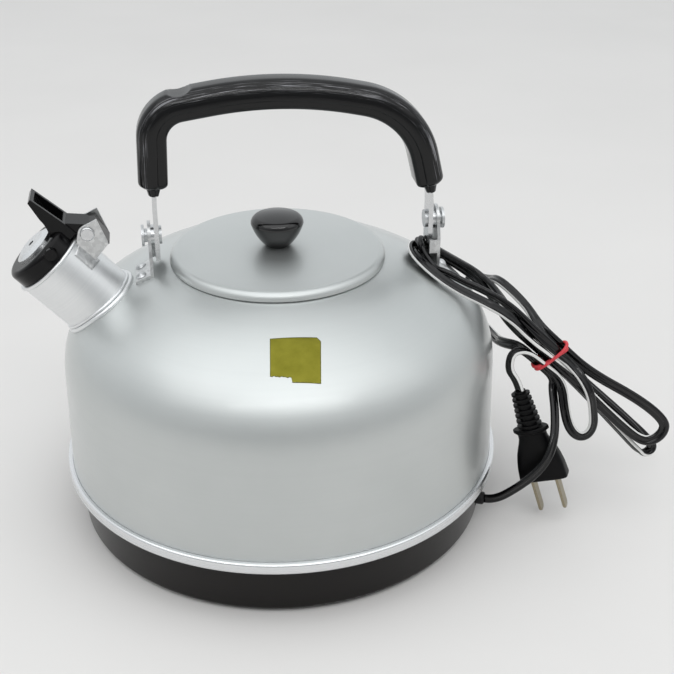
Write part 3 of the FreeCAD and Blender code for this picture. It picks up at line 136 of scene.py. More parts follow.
lead_route = [
    # from the base up to the band
    (104.86, -30.47, 12.0), (110.1, -32.0, 12.0), (120.5, -36.0, 22.6), (129.0, -38.0, 32.5),
    (135.0, -37.0, 41.5), (138.0, -31.0, 51.0), (139.0, -20.0, 59.5), (138.4, -11.5, 67.0),
    (138.8, -10.0, 72.7), (130.7, -9.9, 80.4),
    # the low loop behind the wall
    (120.4, -9.9, 90.3), (113.4, 3.5, 85.2), (112.2, 20.0, 79.0), (109.8, 37.9, 75.6), (104.8, 49.0, 75.8),
    (101.6, 55.4, 81.0), (100.4, 57.7, 92.6), (102.2, 53.8, 99.7), (108.7, 40.2, 103.4),
    (111.3, 20.3, 113.9), (125.0, 7.9, 104.6), (129.4, -10.0, 101.2), (140.5, -10.0, 90.6),
    # the outer loop under the band
    (156.0, -10.0, 75.7), (183.0, -14.0, 61.4), (197.2, -14.0, 48.9), (197.6, -14.0, 42.1),
    (193.1, -14.0, 37.0), (186.3, -14.0, 36.6), (172.3, -14.0, 48.9), (151.0, -14.1, 70.8),
    (135.6, -14.0, 85.5),
    # the first loop round the ear
    (124.5, -14.1, 96.1), (113.5, -17.2, 110.8), (99.8, -16.1, 118.4), (89.0, -11.7, 121.9),
    (77.5, -9.0, 128.8), (67.7, 1.0, 134.5), (65.9, 13.1, 134.6), (68.2, 21.7, 132.0), (73.9, 28.4, 127.5),
    (82.5, 31.5, 122.2), (106.5, 34.8, 104.5), (113.0, -9.9, 103.9), (134.0, -10.0, 83.8),
    # the long loop under the band
    (151.2, -10.0, 67.3), (175.0, -9.0, 40.6), (188.1, -9.0, 26.1), (191.5, -9.0, 25.9), (193.9, -9.0, 28.1),
    (194.1, -9.0, 31.5), (180.9, -9.0, 46.0), (154.6, -10.0, 70.6), (137.2, -9.9, 87.2),
    # the second loop round the ear
    (117.7, -9.9, 105.9), (107.5, 30.4, 109.5), (85.3, 27.1, 123.8), (77.2, 26.0, 129.4),
    (72.1, 20.6, 134.0), (69.6, 14.9, 138.1), (70.7, 8.0, 136.4), (73.5, 3.7, 132.1), (77.2, -0.9, 128.6),
    (82.8, -5.1, 128.6), (90.2, -5.9, 124.5), (99.2, -7.9, 121.2), (112.6, -9.8, 114.3),
    (127.1, -14.0, 100.2), (138.9, -14.0, 88.9),
    # the short loop under the band
    (146.4, -14.0, 81.7), (152.0, -18.5, 76.3), (156.3, -20.9, 68.1), (158.4, -20.8, 58.0),
    (159.3, -20.8, 49.9), (156.8, -20.8, 44.4), (152.2, -20.8, 43.4), (147.4, -20.8, 48.2),
    (144.0, -20.8, 58.4), (142.3, -14.0, 72.5), (132.3, -14.1, 82.1),
    # from the band over to the plug
    (123.7, -14.1, 90.4), (115.8, -15.0, 90.0), (114.2, -18.0, 81.5), (118.7, -19.1, 75.8),
    (120.5, -20.0, 70.2),
]
hank_turn = np.radians(-9.0)
hank_axes = np.array([(np.cos(hank_turn), np.sin(hank_turn), 0), (-np.sin(hank_turn), np.cos(hank_turn), 0),
                      (0, 0, 1)])


def smooth_line(name, points):
    """Points along the curve that a row of control points draws, rounded between each two of them."""
    curve = bpy.data.curves.new(name, "CURVE")
    curve.dimensions = "3D"
    spline = curve.splines.new("NURBS")
    spline.points.add(len(points) - 1)
    spline.points.foreach_set("co", np.column_stack([points, np.ones(len(points))]).ravel())
    spline.order_u = 3
    spline.use_endpoint_u = True
    spline.resolution_u = 12
    holder = bpy.data.objects.new(name, curve)
    mesh = bpy.data.meshes.new_from_object(holder)
    line = np.zeros(3 * len(mesh.vertices))
    mesh.vertices.foreach_get("co", line)
    bpy.data.objects.remove(holder)
    bpy.data.curves.remove(curve)
    bpy.data.meshes.remove(mesh)
    return line.reshape(-1, 3)


def tube_along(name, line, facing, section, roll):
    """A tube whose section, across and outward, is set at each point of a line. Outward is the part of
    the facing direction that is square to the line, evened out along it and turned about the line by the
    roll."""
    steps = np.diff(line, axis=0)
    travel = np.concatenate([[0], np.cumsum(np.linalg.norm(steps, axis=1))])
    along = np.gradient(line, travel, axis=0)
    along /= np.linalg.norm(along, axis=1)[:, None]
    outward = facing - (along @ facing)[:, None] * along
    width = np.hanning(25)[:, None] / np.hanning(25).sum()
    padded = np.pad(outward, ((12, 12), (0, 0)), mode="edge")
    outward = np.array([np.convolve(padded[:, axis], width[:, 0], mode="valid") for axis in range(3)]).T
    outward -= (outward * along).sum(axis=1)[:, None] * along
    outward /= np.linalg.norm(outward, axis=1)[:, None]
    across = np.cross(along, outward)
    turned_out = np.cos(roll)[:, None] * outward + np.sin(roll)[:, None] * across
    turned_across = np.cos(roll)[:, None] * across - np.sin(roll)[:, None] * outward
    points = (line[:, None] + section[None, :, :1] * turned_across[:, None]
              + section[None, :, 1:] * turned_out[:, None])
    return skin_over(name, points, travel)


def skin_over(name, points, travel):
    """A closed skin over rows of points, its two ends filled. The first texture coordinate goes round each
    row, and the second is each row's travel along the piece in metres."""
    rows, columns = points.shape[:2]
    index = np.arange(rows * columns).reshape(rows, columns)
    beside = np.roll(index, -1, axis=1)
    faces = np.stack([index[:-1], index[1:], beside[1:], beside[:-1]], axis=-1).reshape(-1, 4).tolist()
    piece = mesh_object(name, points, faces + [index[0].tolist(), index[-1, ::-1].tolist()])
    layer = piece.data.uv_layers.new(name="around_and_along")
    corner = np.zeros(len(piece.data.loops), int)
    piece.data.loops.foreach_get("vertex_index", corner)
    around = (corner % columns) / columns
    first = np.repeat(np.arange(len(faces)) % columns == columns - 1, 4)
    wraps = np.zeros(len(corner), bool)
    wraps[:len(first)] = first & (around[:len(first)] == 0)
    around = around + wraps
    layer.data.foreach_set("uv", np.column_stack([around, travel[corner // columns]]).ravel())
    return piece


core_radius = 0.00135
core_turns = np.radians(np.linspace(-140, 140, 14))
core = core_radius * np.column_stack([1 + np.cos(core_turns), np.sin(core_turns)])
twin_section = np.concatenate([core, -core])
lead_line = smooth_line("lead_line", np.array(lead_route) / 1000 @ hank_axes)
# Places in the route, and the turn of the flat lead about its line there in degrees
roll_keys = np.array([(0, 40), (9, 40), (11, -35), (20, -35), (22, 30), (26, 30), (28, -35), (30, -35),
                      (33, -140), (42, -140), (44, -97), (47, -97), (51, 60), (53, 60), (55, 75), (66, 75),
                      (69, -35), (78, -35), (81, -115), (84, -115)], float)
lead_roll = np.radians(np.interp(np.linspace(0, len(lead_route) - 1, len(lead_line)), *roll_keys.T))
hank_face = np.array((-0.138, -0.870, 0.474))
lead = tube_along("mains_lead", lead_line, hank_face, twin_section, lead_roll)

# Black vinyl with a soft gloss, slightly uneven as drawn cord is, and a printed white line on one edge. Its
# grain of a few tenths of a millimetre is drawn at 1.11 mm, so that it shows
vinyl, tree, shader = new_material("cord_vinyl", {"Roughness": 0.11, "Specular IOR Level": 0.42})
place = add_node(tree, "TexCoord", {}, {})
spread = add_node(tree, "SeparateXYZ", {}, {"Vector": place.outputs["UV"]})
middle = 6.5 / 28
offset = add_node(tree, "Math", {"operation": "SUBTRACT", 1: middle}, {0: spread.outputs["X"]})
distance = add_node(tree, "Math", {"operation": "ABSOLUTE"}, {0: offset.outputs[0]})
printed = add_node(tree, "MapRange", {"From Min": 0.052, "From Max": 0.060, "To Min": 1.0, "To Max": 0.0},
                   {"Value": distance.outputs[0]})
grain = add_node(tree, "TexNoise", {"Scale": 1000 / 1.11, "Detail": 2.0},
                 {"Vector": place.outputs["Object"]})
black = add_node(tree, "ValToRGB", {}, {"Fac": grain.outputs["Fac"]})
black.color_ramp.elements[0].color = linear("060607")
black.color_ramp.elements[1].color = linear("0e0e10")
coat = add_node(tree, "Mix", {"data_type": "RGBA", "B": linear("e4e4e2")},
                {"Factor": printed.outputs["Result"], "A": black.outputs["Color"]})
tree.links.new(coat.outputs["Result"], shader.inputs["Base Color"])
wave = add_node(tree, "Bump", {"Strength": 0.12, "Distance": 0.0003}, {"Height": grain.outputs["Fac"]})
tree.links.new(wave.outputs["Normal"], shader.inputs["Normal"])
lead.data.materials.append(vinyl)
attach(lead, "kettle")
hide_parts("base_lead", "cord_hank", "plug_lead")

# Band: a thin red rubber ring doubled round the waist of the hank. Its two turns cross in front, and both
# stand off a little at the upper end.

# The ring goes round twice: half its width, half its depth and its way along the hank, in millimetres. The
# two turns differ a little, and a bight stands off where the ends meet.
turns = np.linspace(0, 4 * np.pi, 240, endpoint=False)
bight = np.exp(-(np.minimum(turns, 4 * np.pi - turns) / 0.55) ** 2)
half_wide = 9.3 + 0.4 * np.cos(turns / 2) + 1.0 * bight
half_deep = 3.9 + 0.7 * np.cos(turns / 2)
ring_across = half_wide * np.sign(np.cos(turns)) * np.abs(np.cos(turns)) ** 0.7
ring_depth = half_deep * np.sign(np.sin(turns)) * np.abs(np.sin(turns)) ** 0.7
ring_along = 1.5 * np.sin(turns / 2 - 0.75 * np.pi) + 1.4 * np.cos(turns)
slope = np.radians(43.8)
band_axes = np.array([(np.sin(slope), 0, np.cos(slope)), (0, 1, 0), (np.cos(slope), 0, -np.sin(slope))])
band_middle = np.array((135.6, -12.0, 85.5))
ring_shifts = np.column_stack([ring_across, ring_depth, ring_along])
band_line = (band_middle + ring_shifts @ band_axes) / 1000 @ hank_axes


def ring_tube(name, line, radius, sides):
    """A round tube along a closed line: each section stands square to the line, with one of its two
    directions in the plane of the line and its mean direction."""
    along = np.roll(line, -1, axis=0) - np.roll(line, 1, axis=0)
    along /= np.linalg.norm(along, axis=1)[:, None]
    axis = np.cross(line - line.mean(axis=0), along).mean(axis=0)
    across = np.cross(along, axis)
    across /= np.linalg.norm(across, axis=1)[:, None]
    outward = np.cross(across, along)
    angle = np.linspace(0, 2 * np.pi, sides, endpoint=False)
    points = (line[:, None] + radius * np.cos(angle)[None, :, None] * across[:, None]
              + radius * np.sin(angle)[None, :, None] * outward[:, None])
    index = np.arange(points.shape[0] * sides).reshape(-1, sides)
    ahead = np.roll(index, -1, axis=0)
    faces = np.stack([index, ahead, np.roll(ahead, -1, axis=1), np.roll(index, -1, axis=1)], axis=-1)
    return mesh_object(name, points, faces.reshape(-1, 4).tolist())


band = ring_tube("rubber_band", band_line, 0.00085, 12)

# Red natural rubber: an even dull red, a little paler where it is stretched, with a bloom of powder in
# patches 2.38 mm wide
rubber, tree, shader = new_material("red_rubber", {"Roughness": 0.48, "Subsurface Weight": 0.08})
place = add_node(tree, "TexCoord", {}, {})
bloom = add_node(tree, "TexNoise", {"Scale": 1000 / 2.38, "Detail": 3.0},
                 {"Vector": place.outputs["Object"]})
tone = add_node(tree, "ValToRGB", {}, {"Fac": bloom.outputs["Fac"]})
tone.color_ramp.elements[0].color = linear("c01f2b")
tone.color_ramp.elements[1].color = linear("e54c55")
tree.links.new(tone.outputs["Color"], shader.inputs["Base Color"])
skin = add_node(tree, "Bump", {"Strength": 0.2, "Distance": 0.0002}, {"Height": bloom.outputs["Fac"]})
tree.links.new(skin.outputs["Normal"], shader.inputs["Normal"])
band.data.materials.append(rubber)
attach(band, "kettle")
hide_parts("cord_tie")

# Plug: soft black vinyl moulded on the end of the lead. A flat ladder of thin ribs takes the bend of the
# lead, and below a winged collar the body spreads to a wide foot with two plated blades.

plug_top = np.array((120.5, -20.0, 70.2))
plug_way = np.array((21.5, -11.0, -66.0)) / np.linalg.norm((21.5, -11.0, -66.0))
level_way = np.array((1.0, 0, 0)) - plug_way[0] * plug_way
level_way /= np.linalg.norm(level_way)
plug_roll = np.radians(20.0)
plug_wide_way = np.cos(plug_roll) * level_way + np.sin(plug_roll) * np.cross(plug_way, level_way)

def oblongs_along(name, start, axes, rows):
    """A skin over rounded oblongs set square to an axis. The axes are its direction, the direction of the
    widths and that of the depths. Each row gives a place along the axis, half a width, half a depth and a
    squareness: the power in the oblong's formula, two for an oval and more for a box."""
    turns = np.linspace(0, 2 * np.pi, 48, endpoint=False)
    place, wide, deep, square = np.array(rows).T[:, :, None]
    across = wide * np.sign(np.cos(turns)) * np.abs(np.cos(turns)) ** (2 / square)
    depth = deep * np.sign(np.sin(turns)) * np.abs(np.sin(turns)) ** (2 / square)
    shifts = np.stack([np.broadcast_to(place, across.shape), across, depth], axis=-1)
    points = (start + shifts @ np.array(axes)) / 1000 @ hank_axes
    piece = skin_over(name, points[:, ::-1], np.array(rows)[:, 0] / 1000)
    piece.data.set_sharp_from_angle(angle=np.radians(45))
    return piece


plug_axes = (plug_way, plug_wide_way, np.cross(plug_way, plug_wide_way))


rib_count = 7
rib_pitch = 2.9
plug_rows = []
for start in np.arange(rib_count) * rib_pitch:
    core = (2.9 + 0.06 * start, 2.5 + 0.05 * start, 2.2)
    rib = (4.7 + 0.09 * start, 3.1 + 0.06 * start, 2.6)
    plug_rows += [(start - 0.3, *core), (start + 0.9, *core), (start + 0.9, *rib), (start + 2.0, *rib),
                  (start + 2.0, *core)]
plug_rows += [(20.4, 4.2, 3.6, 2.2), (20.4, 8.9, 5.0, 1.7), (20.8, 9.3, 5.3, 1.7), (22.2, 9.3, 5.3, 1.7),
              (22.9, 8.2, 4.6, 1.9), (23.6, 7.4, 4.1, 2.3)]
body_keys = np.array([(23.6, 7.4), (26.0, 7.4), (28.5, 8.2), (31.0, 9.2), (34.0, 10.3), (37.5, 11.2),
                      (42.0, 12.0), (49.0, 12.5)])
body_place = np.linspace(24.0, 49.0, 26)
body_wide = np.interp(body_place, *body_keys.T)
body_deep = np.interp(body_place, (24.0, 32.0, 49.0), (4.1, 4.6, 4.8))
body_square = np.interp(body_place, (24.0, 34.0, 49.0), (2.3, 4.0, 6.0))
plug_rows += np.column_stack([body_place, body_wide, body_deep, body_square]).tolist()
plug_rows += [(49.6, 12.3, 4.6, 6.0), (50.0, 11.7, 4.0, 5.0)]
plug = oblongs_along("moulded_plug", plug_top, plug_axes, plug_rows)

# Soft vinyl: a deep black with a dull sheen, dusty in its pores. The pores are drawn 1.43 mm apart, wider
# than they are, so that they show
plug_vinyl, tree, shader = new_material("plug_vinyl", {"Specular IOR Level": 0.15})
place = add_node(tree, "TexCoord", {}, {})
dust = add_node(tree, "TexNoise", {"Scale": 1000 / 1.43, "Detail": 3.0},
                {"Vector": place.outputs["Object"]})
tone = add_node(tree, "ValToRGB", {}, {"Fac": dust.outputs["Fac"]})
tone.color_ramp.elements[0].color = linear("050506")
tone.color_ramp.elements[1].color = linear("0b0b0c")
tree.links.new(tone.outputs["Color"], shader.inputs["Base Color"])
dull = add_node(tree, "MapRange", {"To Min": 0.30, "To Max": 0.46}, {"Value": dust.outputs["Fac"]})
tree.links.new(dull.outputs["Result"], shader.inputs["Roughness"])
skin = add_node(tree, "Bump", {"Strength": 0.1, "Distance": 0.0003}, {"Height": dust.outputs["Fac"]})
tree.links.new(skin.outputs["Normal"], shader.inputs["Normal"])
plug.data.materials.append(plug_vinyl)
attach(plug, "kettle")
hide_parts("plug_body")

blade_pitch = 12.7
blade_rows = [(48.0, 0.75, 3.15, 12.0), (65.6, 0.75, 3.15, 12.0), (66.6, 0.75, 2.9, 10.0),
              (67.4, 0.72, 2.4, 8.0), (68.0, 0.55, 1.6, 6.0)]
blades = [oblongs_along("blade_" + side, plug_top + offset * plug_wide_way, plug_axes, blade_rows)
          for side, offset in (("left", -blade_pitch / 2), ("right", blade_pitch / 2))]

# Nickel on brass, yellowed and scuffed across the blades by the socket's springs. The scuffs are 0.694 mm
# apart, and there are nine in the way round a blade
nickel, tree, shader = new_material("nickelled_brass", {"Metallic": 1.0})
place = add_node(tree, "TexCoord", {}, {})
stretch = add_node(tree, "Mapping", {"Scale": (9.0, 1000 / 0.694, 1.0)}, {"Vector": place.outputs["UV"]})
scuff = add_node(tree, "TexNoise", {"Scale": 1.0, "Detail": 4.0}, {"Vector": stretch.outputs["Vector"]})
tone = add_node(tree, "ValToRGB", {}, {"Fac": scuff.outputs["Fac"]})
tone.color_ramp.elements[0].color = linear("857c68")
tone.color_ramp.elements[1].color = linear("aca38e")
tree.links.new(tone.outputs["Color"], shader.inputs["Base Color"])
dull = add_node(tree, "MapRange", {"To Min": 0.26, "To Max": 0.42}, {"Value": scuff.outputs["Fac"]})
tree.links.new(dull.outputs["Result"], shader.inputs["Roughness"])
for blade in blades:
    blade.data.materials.append(nickel)
    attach(blade, "kettle")
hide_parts("plug_blades")

# Vessel: the body and lid are spun from aluminium sheet and brushed round to a dull satin. The bottom sheet
# is rolled up round the body's hem, and that bead stays bright.


def dress(material, *names):
    """Gives solids of the frame their finish."""
    for name in names:
        for slot in nodes[name].material_slots:
            slot.material = material


def turned_lines(tree, spacing):
    """Noise that is the same all round the upright axis, so that it draws the fine rings of a turned
    finish. The spacing of the rings is in millimetres."""
    place = add_node(tree, "TexCoord", {}, {})
    parts = add_node(tree, "SeparateXYZ", {}, {"Vector": place.outputs["Object"]})
    flat = add_node(tree, "VectorMath", {"operation": "MULTIPLY", 1: (1, 1, 0)},
                    {0: place.outputs["Object"]})
    reach = add_node(tree, "VectorMath", {"operation": "LENGTH"}, {0: flat.outputs["Vector"]})
    ring = add_node(tree, "CombineXYZ", {}, {"X": reach.outputs["Value"], "Z": parts.outputs["Z"]})
    return add_node(tree, "TexNoise", {"Scale": 1000 / spacing, "Detail": 3.0},
                    {"Vector": ring.outputs["Vector"]})


def satin_sheet(name, smoothest, dullest, ridge):
    """Anodised aluminium: a thin clear skin with a faint mirror of its own lies over the grey metal, which
    has fine rings in its dullness and a slight cloudiness over 45 mm. The rings of the brush are finer than
    the render can show, and are drawn 1.43 mm apart."""
    sheet, tree, shader = new_material(name, {"Metallic": 1.0, "Coat Weight": 0.7, "Coat Roughness": 0.2})
    rings = turned_lines(tree, 1.43)
    place = add_node(tree, "TexCoord", {}, {})
    cloud = add_node(tree, "TexNoise", {"Scale": 1000 / 45.5, "Detail": 4.0},
                     {"Vector": place.outputs["Object"]})
    tone = add_node(tree, "ValToRGB", {}, {"Fac": cloud.outputs["Fac"]})
    tone.color_ramp.elements[0].color = linear("c3c7c6")
    tone.color_ramp.elements[1].color = linear("cfd2d1")
    tree.links.new(tone.outputs["Color"], shader.inputs["Base Color"])
    dull = add_node(tree, "MapRange", {"To Min": smoothest, "To Max": dullest},
                    {"Value": rings.outputs["Fac"]})
    tree.links.new(dull.outputs["Result"], shader.inputs["Roughness"])
    brush = add_node(tree, "Bump", {"Strength": ridge, "Distance": 0.0003},
                     {"Height": rings.outputs["Fac"]})
    tree.links.new(brush.outputs["Normal"], shader.inputs["Normal"])
    return sheet


# The satin mirrors the room only as soft bands, with a weak reflection of what stands close to it
satin = satin_sheet("satin_aluminium", 0.42, 0.52, 0.06)
lid_satin = satin_sheet("pressed_aluminium", 0.46, 0.54, 0.02)
dress(satin, "kettle_shell", "lid_sleeve")

# Bright aluminium is the same sheet, burnished by the roll, so that it shows sharper lights. The roll's
# marks are drawn 2 mm apart, coarser than they are
bright, tree, shader = new_material("bright_aluminium", {"Metallic": 1.0})
rings = turned_lines(tree, 2.0)
tone = add_node(tree, "ValToRGB", {}, {"Fac": rings.outputs["Fac"]})
tone.color_ramp.elements[0].color = linear("dbdddf")
tone.color_ramp.elements[1].color = linear("ecedee")
tree.links.new(tone.outputs["Color"], shader.inputs["Base Color"])
dull = add_node(tree, "MapRange", {"To Min": 0.20, "To Max": 0.34}, {"Value": rings.outputs["Fac"]})
tree.links.new(dull.outputs["Result"], shader.inputs["Roughness"])
dress(bright, "whistle_disc", "whistle_plate")


def arc_points(centre, radius, start, end, count):
    """Points on an arc between two angles in degrees."""
    angle = np.radians(np.linspace(start, end, count))
    return np.array(centre) + radius * np.column_stack([np.cos(angle), np.sin(angle)])


def lathe(name, outline, sides):
    """A solid of revolution about the upright axis. Its outline of reach and height starts and ends on the
    axis, and its other points are turned into rings."""
    turn = np.linspace(0, 2 * np.pi, sides, endpoint=False)
    reach, height = np.array(outline).T
    wide = reach[1:-1, None]
    level = np.repeat(height[1:-1, None], sides, axis=1)
    rings = np.stack([wide * np.cos(turn), wide * np.sin(turn), level], axis=-1)
    points = np.concatenate([[(0, 0, height[0]), (0, 0, height[-1])], rings.reshape(-1, 3)])
    index = 2 + np.arange(len(wide) * sides).reshape(-1, sides)
    beside = np.roll(index, -1, axis=1)
    walls = np.stack([index[:-1], beside[:-1], beside[1:], index[1:]], axis=-1).reshape(-1, 4).tolist()
    low = np.stack([np.zeros(sides, int), beside[0], index[0]], axis=-1).tolist()
    high = np.stack([np.ones(sides, int), index[-1], beside[-1]], axis=-1).tolist()
    piece = mesh_object(name, points, walls + low + high)
    piece.data.set_sharp_from_angle(angle=np.radians(40))
    return piece


bead_outline = np.concatenate([
    [(0, 28.0)], arc_points((110.2, 29.3), 1.3, -90, 0, 9), arc_points((110.2, 32.3), 1.3, 0, 90, 9),
    [(109.07, 33.6), (109.1, 32.2), (110.1, 32.2), (110.1, 29.4), (0, 29.4)]]) / 1000
bottom = lathe("rolled_bottom", bead_outline, 288)
bottom.data.materials.append(bright)
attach(bottom, "kettle")
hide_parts("vessel_bottom")

# Lid: one aluminium pressing with a nearly flat crown and an edge rolled down in one soft round. It lies
# loose on the neck, and a sleeve under it keeps it in place.

lid_foot = 136.08
lid_top = 141.48
lid_brim = 48.9
lid_edge = 3.6
lid_rise = 1.3
crown = np.linspace(1, 0, 24)[1:]
crown_line = np.column_stack([lid_brim * crown, lid_top - lid_rise * crown ** 2])
edge_middle = (lid_brim, lid_top - lid_rise - lid_edge)
lid_outline = np.concatenate([
    crown_line[::-1] - (0, 1.0), arc_points(edge_middle, lid_edge - 1.0, 90, 0, 10),
    [(51.5, lid_foot), (52.5, lid_foot)], arc_points(edge_middle, lid_edge, 0, 90, 16), crown_line]) / 1000
cover = lathe("rolled_lid", lid_outline, 288)
cover.data.materials.append(lid_satin)
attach(cover, "lid")
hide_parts("lid_cover")

# Spout: a short tube drawn from the same sheet, brushed round its own axis, with a rolled lip. A doubled
# bead closes the joint where it goes through the shoulder.

dome_middle = (16.667, 10.536)
dome_radius = 130.0
corner_middle = (65.732, 83.589)
corner_radius = 42.0
corner_start = 89.149


def shoulder_height(reach):
    """Height of the shoulder over a distance from the axis: the dome's arc, and the corner's arc beyond
    it."""
    on_dome = np.minimum(reach, corner_start) - dome_middle[0]
    dome = dome_middle[1] + np.sqrt(dome_radius ** 2 - on_dome ** 2)
    edge = corner_middle[1] + np.sqrt(np.maximum(corner_radius ** 2 - (reach - corner_middle[0]) ** 2, 0))
    return np.where(reach <= corner_start, dome, edge)


spout_lean = np.radians(48.5)
spout_foot = np.array((-89.7, 0.0, 119.83))
spout_way = np.array((-np.cos(spout_lean), 0, np.sin(spout_lean)))
spout_up = np.array((np.sin(spout_lean), 0, np.cos(spout_lean)))
side_way = np.array((0, 1, 0))


def on_shoulder(reach, turns):
    """Points where lines along the spout, at a distance from its axis, go through the shoulder. The place
    on each line is found by halving a stretch of it again and again."""
    start = spout_foot + reach * (np.cos(turns)[:, None] * spout_up + np.sin(turns)[:, None] * side_way)
    low = np.full(len(turns), -30.0)
    high = np.full(len(turns), 30.0)
    halvings = 40
    for _ in range(halvings):
        middle = (low + high) / 2
        spots = start + middle[:, None] * spout_way
        above = spots[:, 2] > shoulder_height(np.hypot(spots[:, 0], spots[:, 1]))
        high = np.where(above, middle, high)
        low = np.where(above, low, middle)
    return spots


turns = np.linspace(0, 2 * np.pi, 160, endpoint=False)
outer_bead = ring_tube("spout_bead", (on_shoulder(19.0, turns) + 0.5 * spout_way) / 1000, 0.0013, 14)
inner_bead = ring_tube("spout_bead_lip", (on_shoulder(18.7, turns) + 2.4 * spout_way) / 1000, 0.0007, 12)

# Brushed spout sheet: soft bands of light along the tube, with faint rings across it. They are drawn
# 1.11 mm apart, coarser than the brush leaves them
drawn, tree, shader = new_material("drawn_aluminium", {"Metallic": 1.0})
place = add_node(tree, "TexCoord", {}, {})
along = add_node(tree, "VectorMath", {"operation": "DOT_PRODUCT", 1: tuple(spout_way)},
                 {0: place.outputs["Object"]})
rings = add_node(tree, "TexNoise", {"noise_dimensions": "1D", "Scale": 1000 / 1.11, "Detail": 3.0},
                 {"W": along.outputs["Value"]})
tone = add_node(tree, "ValToRGB", {}, {"Fac": rings.outputs["Fac"]})
tone.color_ramp.elements[0].color = linear("e3e5e6")
tone.color_ramp.elements[1].color = linear("eeefef")
tree.links.new(tone.outputs["Color"], shader.inputs["Base Color"])
dull = add_node(tree, "MapRange", {"To Min": 0.34, "To Max": 0.46}, {"Value": rings.outputs["Fac"]})
tree.links.new(dull.outputs["Result"], shader.inputs["Roughness"])
dress(drawn, "spout_tube")
for piece in (outer_bead, inner_bead):
    piece.data.materials.append(drawn)
    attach(piece, "kettle")
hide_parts("spout_collar")

# Base: a tray moulded in black phenolic with a satin skin, on rubber feet. The heater, its clamp, the
# cut-out and the terminals are inside it, and pillars and screws hold it up against the vessel.

# Satin phenolic has a fine orange-peel skin that softens its gloss, with dimples 1.54 mm apart. Its black is
# tinted brown as a painted reflection of warm wood, and the tint drifts over 25 mm
tray, tree, shader = new_material("satin_phenolic", {"Specular IOR Level": 0.24})
place = add_node(tree, "TexCoord", {}, {})
peel = add_node(tree, "TexNoise", {"Scale": 1000 / 1.54, "Detail": 2.0}, {"Vector": place.outputs["Object"]})
flow = add_node(tree, "TexNoise", {"Scale": 1000 / 25, "Detail": 4.0}, {"Vector": place.outputs["Object"]})
# Painted reflection: both colours are a black tinted brown that stands for warm wood mirrored in the tray
tone = add_node(tree, "ValToRGB", {}, {"Fac": flow.outputs["Fac"]})
tone.color_ramp.elements[0].color = linear("0b0908")
tone.color_ramp.elements[1].color = linear("130f0d")
tree.links.new(tone.outputs["Color"], shader.inputs["Base Color"])
dull = add_node(tree, "MapRange", {"To Min": 0.16, "To Max": 0.28}, {"Value": flow.outputs["Fac"]})
tree.links.new(dull.outputs["Result"], shader.inputs["Roughness"])
skin = add_node(tree, "Bump", {"Strength": 0.10, "Distance": 0.0003}, {"Height": peel.outputs["Fac"]})
tree.links.new(skin.outputs["Normal"], shader.inputs["Normal"])
dress(tray, "base_housing")

# Black rubber is duller, with a fine dusty grain that is drawn at 1.25 mm so that it shows
dark_rubber, tree, shader = new_material("black_rubber", {"Specular IOR Level": 0.3})
place = add_node(tree, "TexCoord", {}, {})
grain = add_node(tree, "TexNoise", {"Scale": 1000 / 1.25, "Detail": 3.0},
                 {"Vector": place.outputs["Object"]})
tone = add_node(tree, "ValToRGB", {}, {"Fac": grain.outputs["Fac"]})
tone.color_ramp.elements[0].color = linear("0b0b0c")
tone.color_ramp.elements[1].color = linear("151517")
tree.links.new(tone.outputs["Color"], shader.inputs["Base Color"])
dull = add_node(tree, "MapRange", {"To Min": 0.38, "To Max": 0.55}, {"Value": grain.outputs["Fac"]})
tree.links.new(dull.outputs["Result"], shader.inputs["Roughness"])
skin = add_node(tree, "Bump", {"Strength": 0.12, "Distance": 0.0003}, {"Height": grain.outputs["Fac"]})
tree.links.new(skin.outputs["Normal"], shader.inputs["Normal"])
dress(dark_rubber, "base_feet")

# Lead bush: a slim rubber sleeve pressed into the wall of the tray, which keeps the lead off the edge of
# its hole. The lead leaves straight out from the kettle's axis.

exit_turn = np.radians(-25.2)
exit_way = np.array((np.cos(exit_turn), np.sin(exit_turn), 0)) @ hank_axes.T
bush_axes = (exit_way, np.cross(exit_way, (0, 0, 1)), np.array((0, 0, -1.0)))
bush_rows = [(-9.0, 3.4, 3.4, 2.0), (-1.0, 3.3, 3.3, 2.0), (-0.3, 3.1, 3.1, 2.0), (0.0, 2.6, 2.6, 2.0)]
bush = oblongs_along("lead_bush", np.array(lead_route[0]), bush_axes, bush_rows)
bush.data.materials.append(dark_rubber)
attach(bush, "kettle")
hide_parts("cord_grommet")

# Bracket and ears: the whistle's bracket, the handle's two ears and the heater's clamp are cut and bent
# from zinc-coated steel sheet. The pillars that carry the tray have the same coat.

# Zinc-coated steel has pale grey spangles, 1.54 mm wide, of slightly different tone and dullness
zinc, tree, shader = new_material("zinc_steel", {"Metallic": 1.0})
place = add_node(tree, "TexCoord", {}, {})
spangle = add_node(tree, "TexVoronoi", {"Scale": 1000 / 1.54}, {"Vector": place.outputs["Object"]})
grey = add_node(tree, "SeparateColor", {}, {"Color": spangle.outputs["Color"]})
tone = add_node(tree, "ValToRGB", {}, {"Fac": grey.outputs["Red"]})
tone.color_ramp.elements[0].color = linear("c2c3c3")
tone.color_ramp.elements[1].color = linear("d9dada")
tree.links.new(tone.outputs["Color"], shader.inputs["Base Color"])
dull = add_node(tree, "MapRange", {"To Min": 0.28, "To Max": 0.46}, {"Value": grey.outputs["Green"]})
tree.links.new(dull.outputs["Result"], shader.inputs["Roughness"])
soft_edge = add_node(tree, "Bevel", {"samples": 6, "Radius": 0.0002}, {})
tree.links.new(soft_edge.outputs["Normal"], shader.inputs["Normal"])
dress(zinc, "whistle_bracket", "front_ear", "rear_ear", "element_clamp", "base_pillars")

# Bracket skirts: under each cheek of the whistle's bracket the zinc-coated sheet is bent to lie on the side
# of the spout, where it is welded on.

skirt_start = 13.5
skirt_length = 13.1
skirt_taper = 2.2
skirt_radius = 18.1
skirt_high = 19.0
skirt_sweep = 22.5


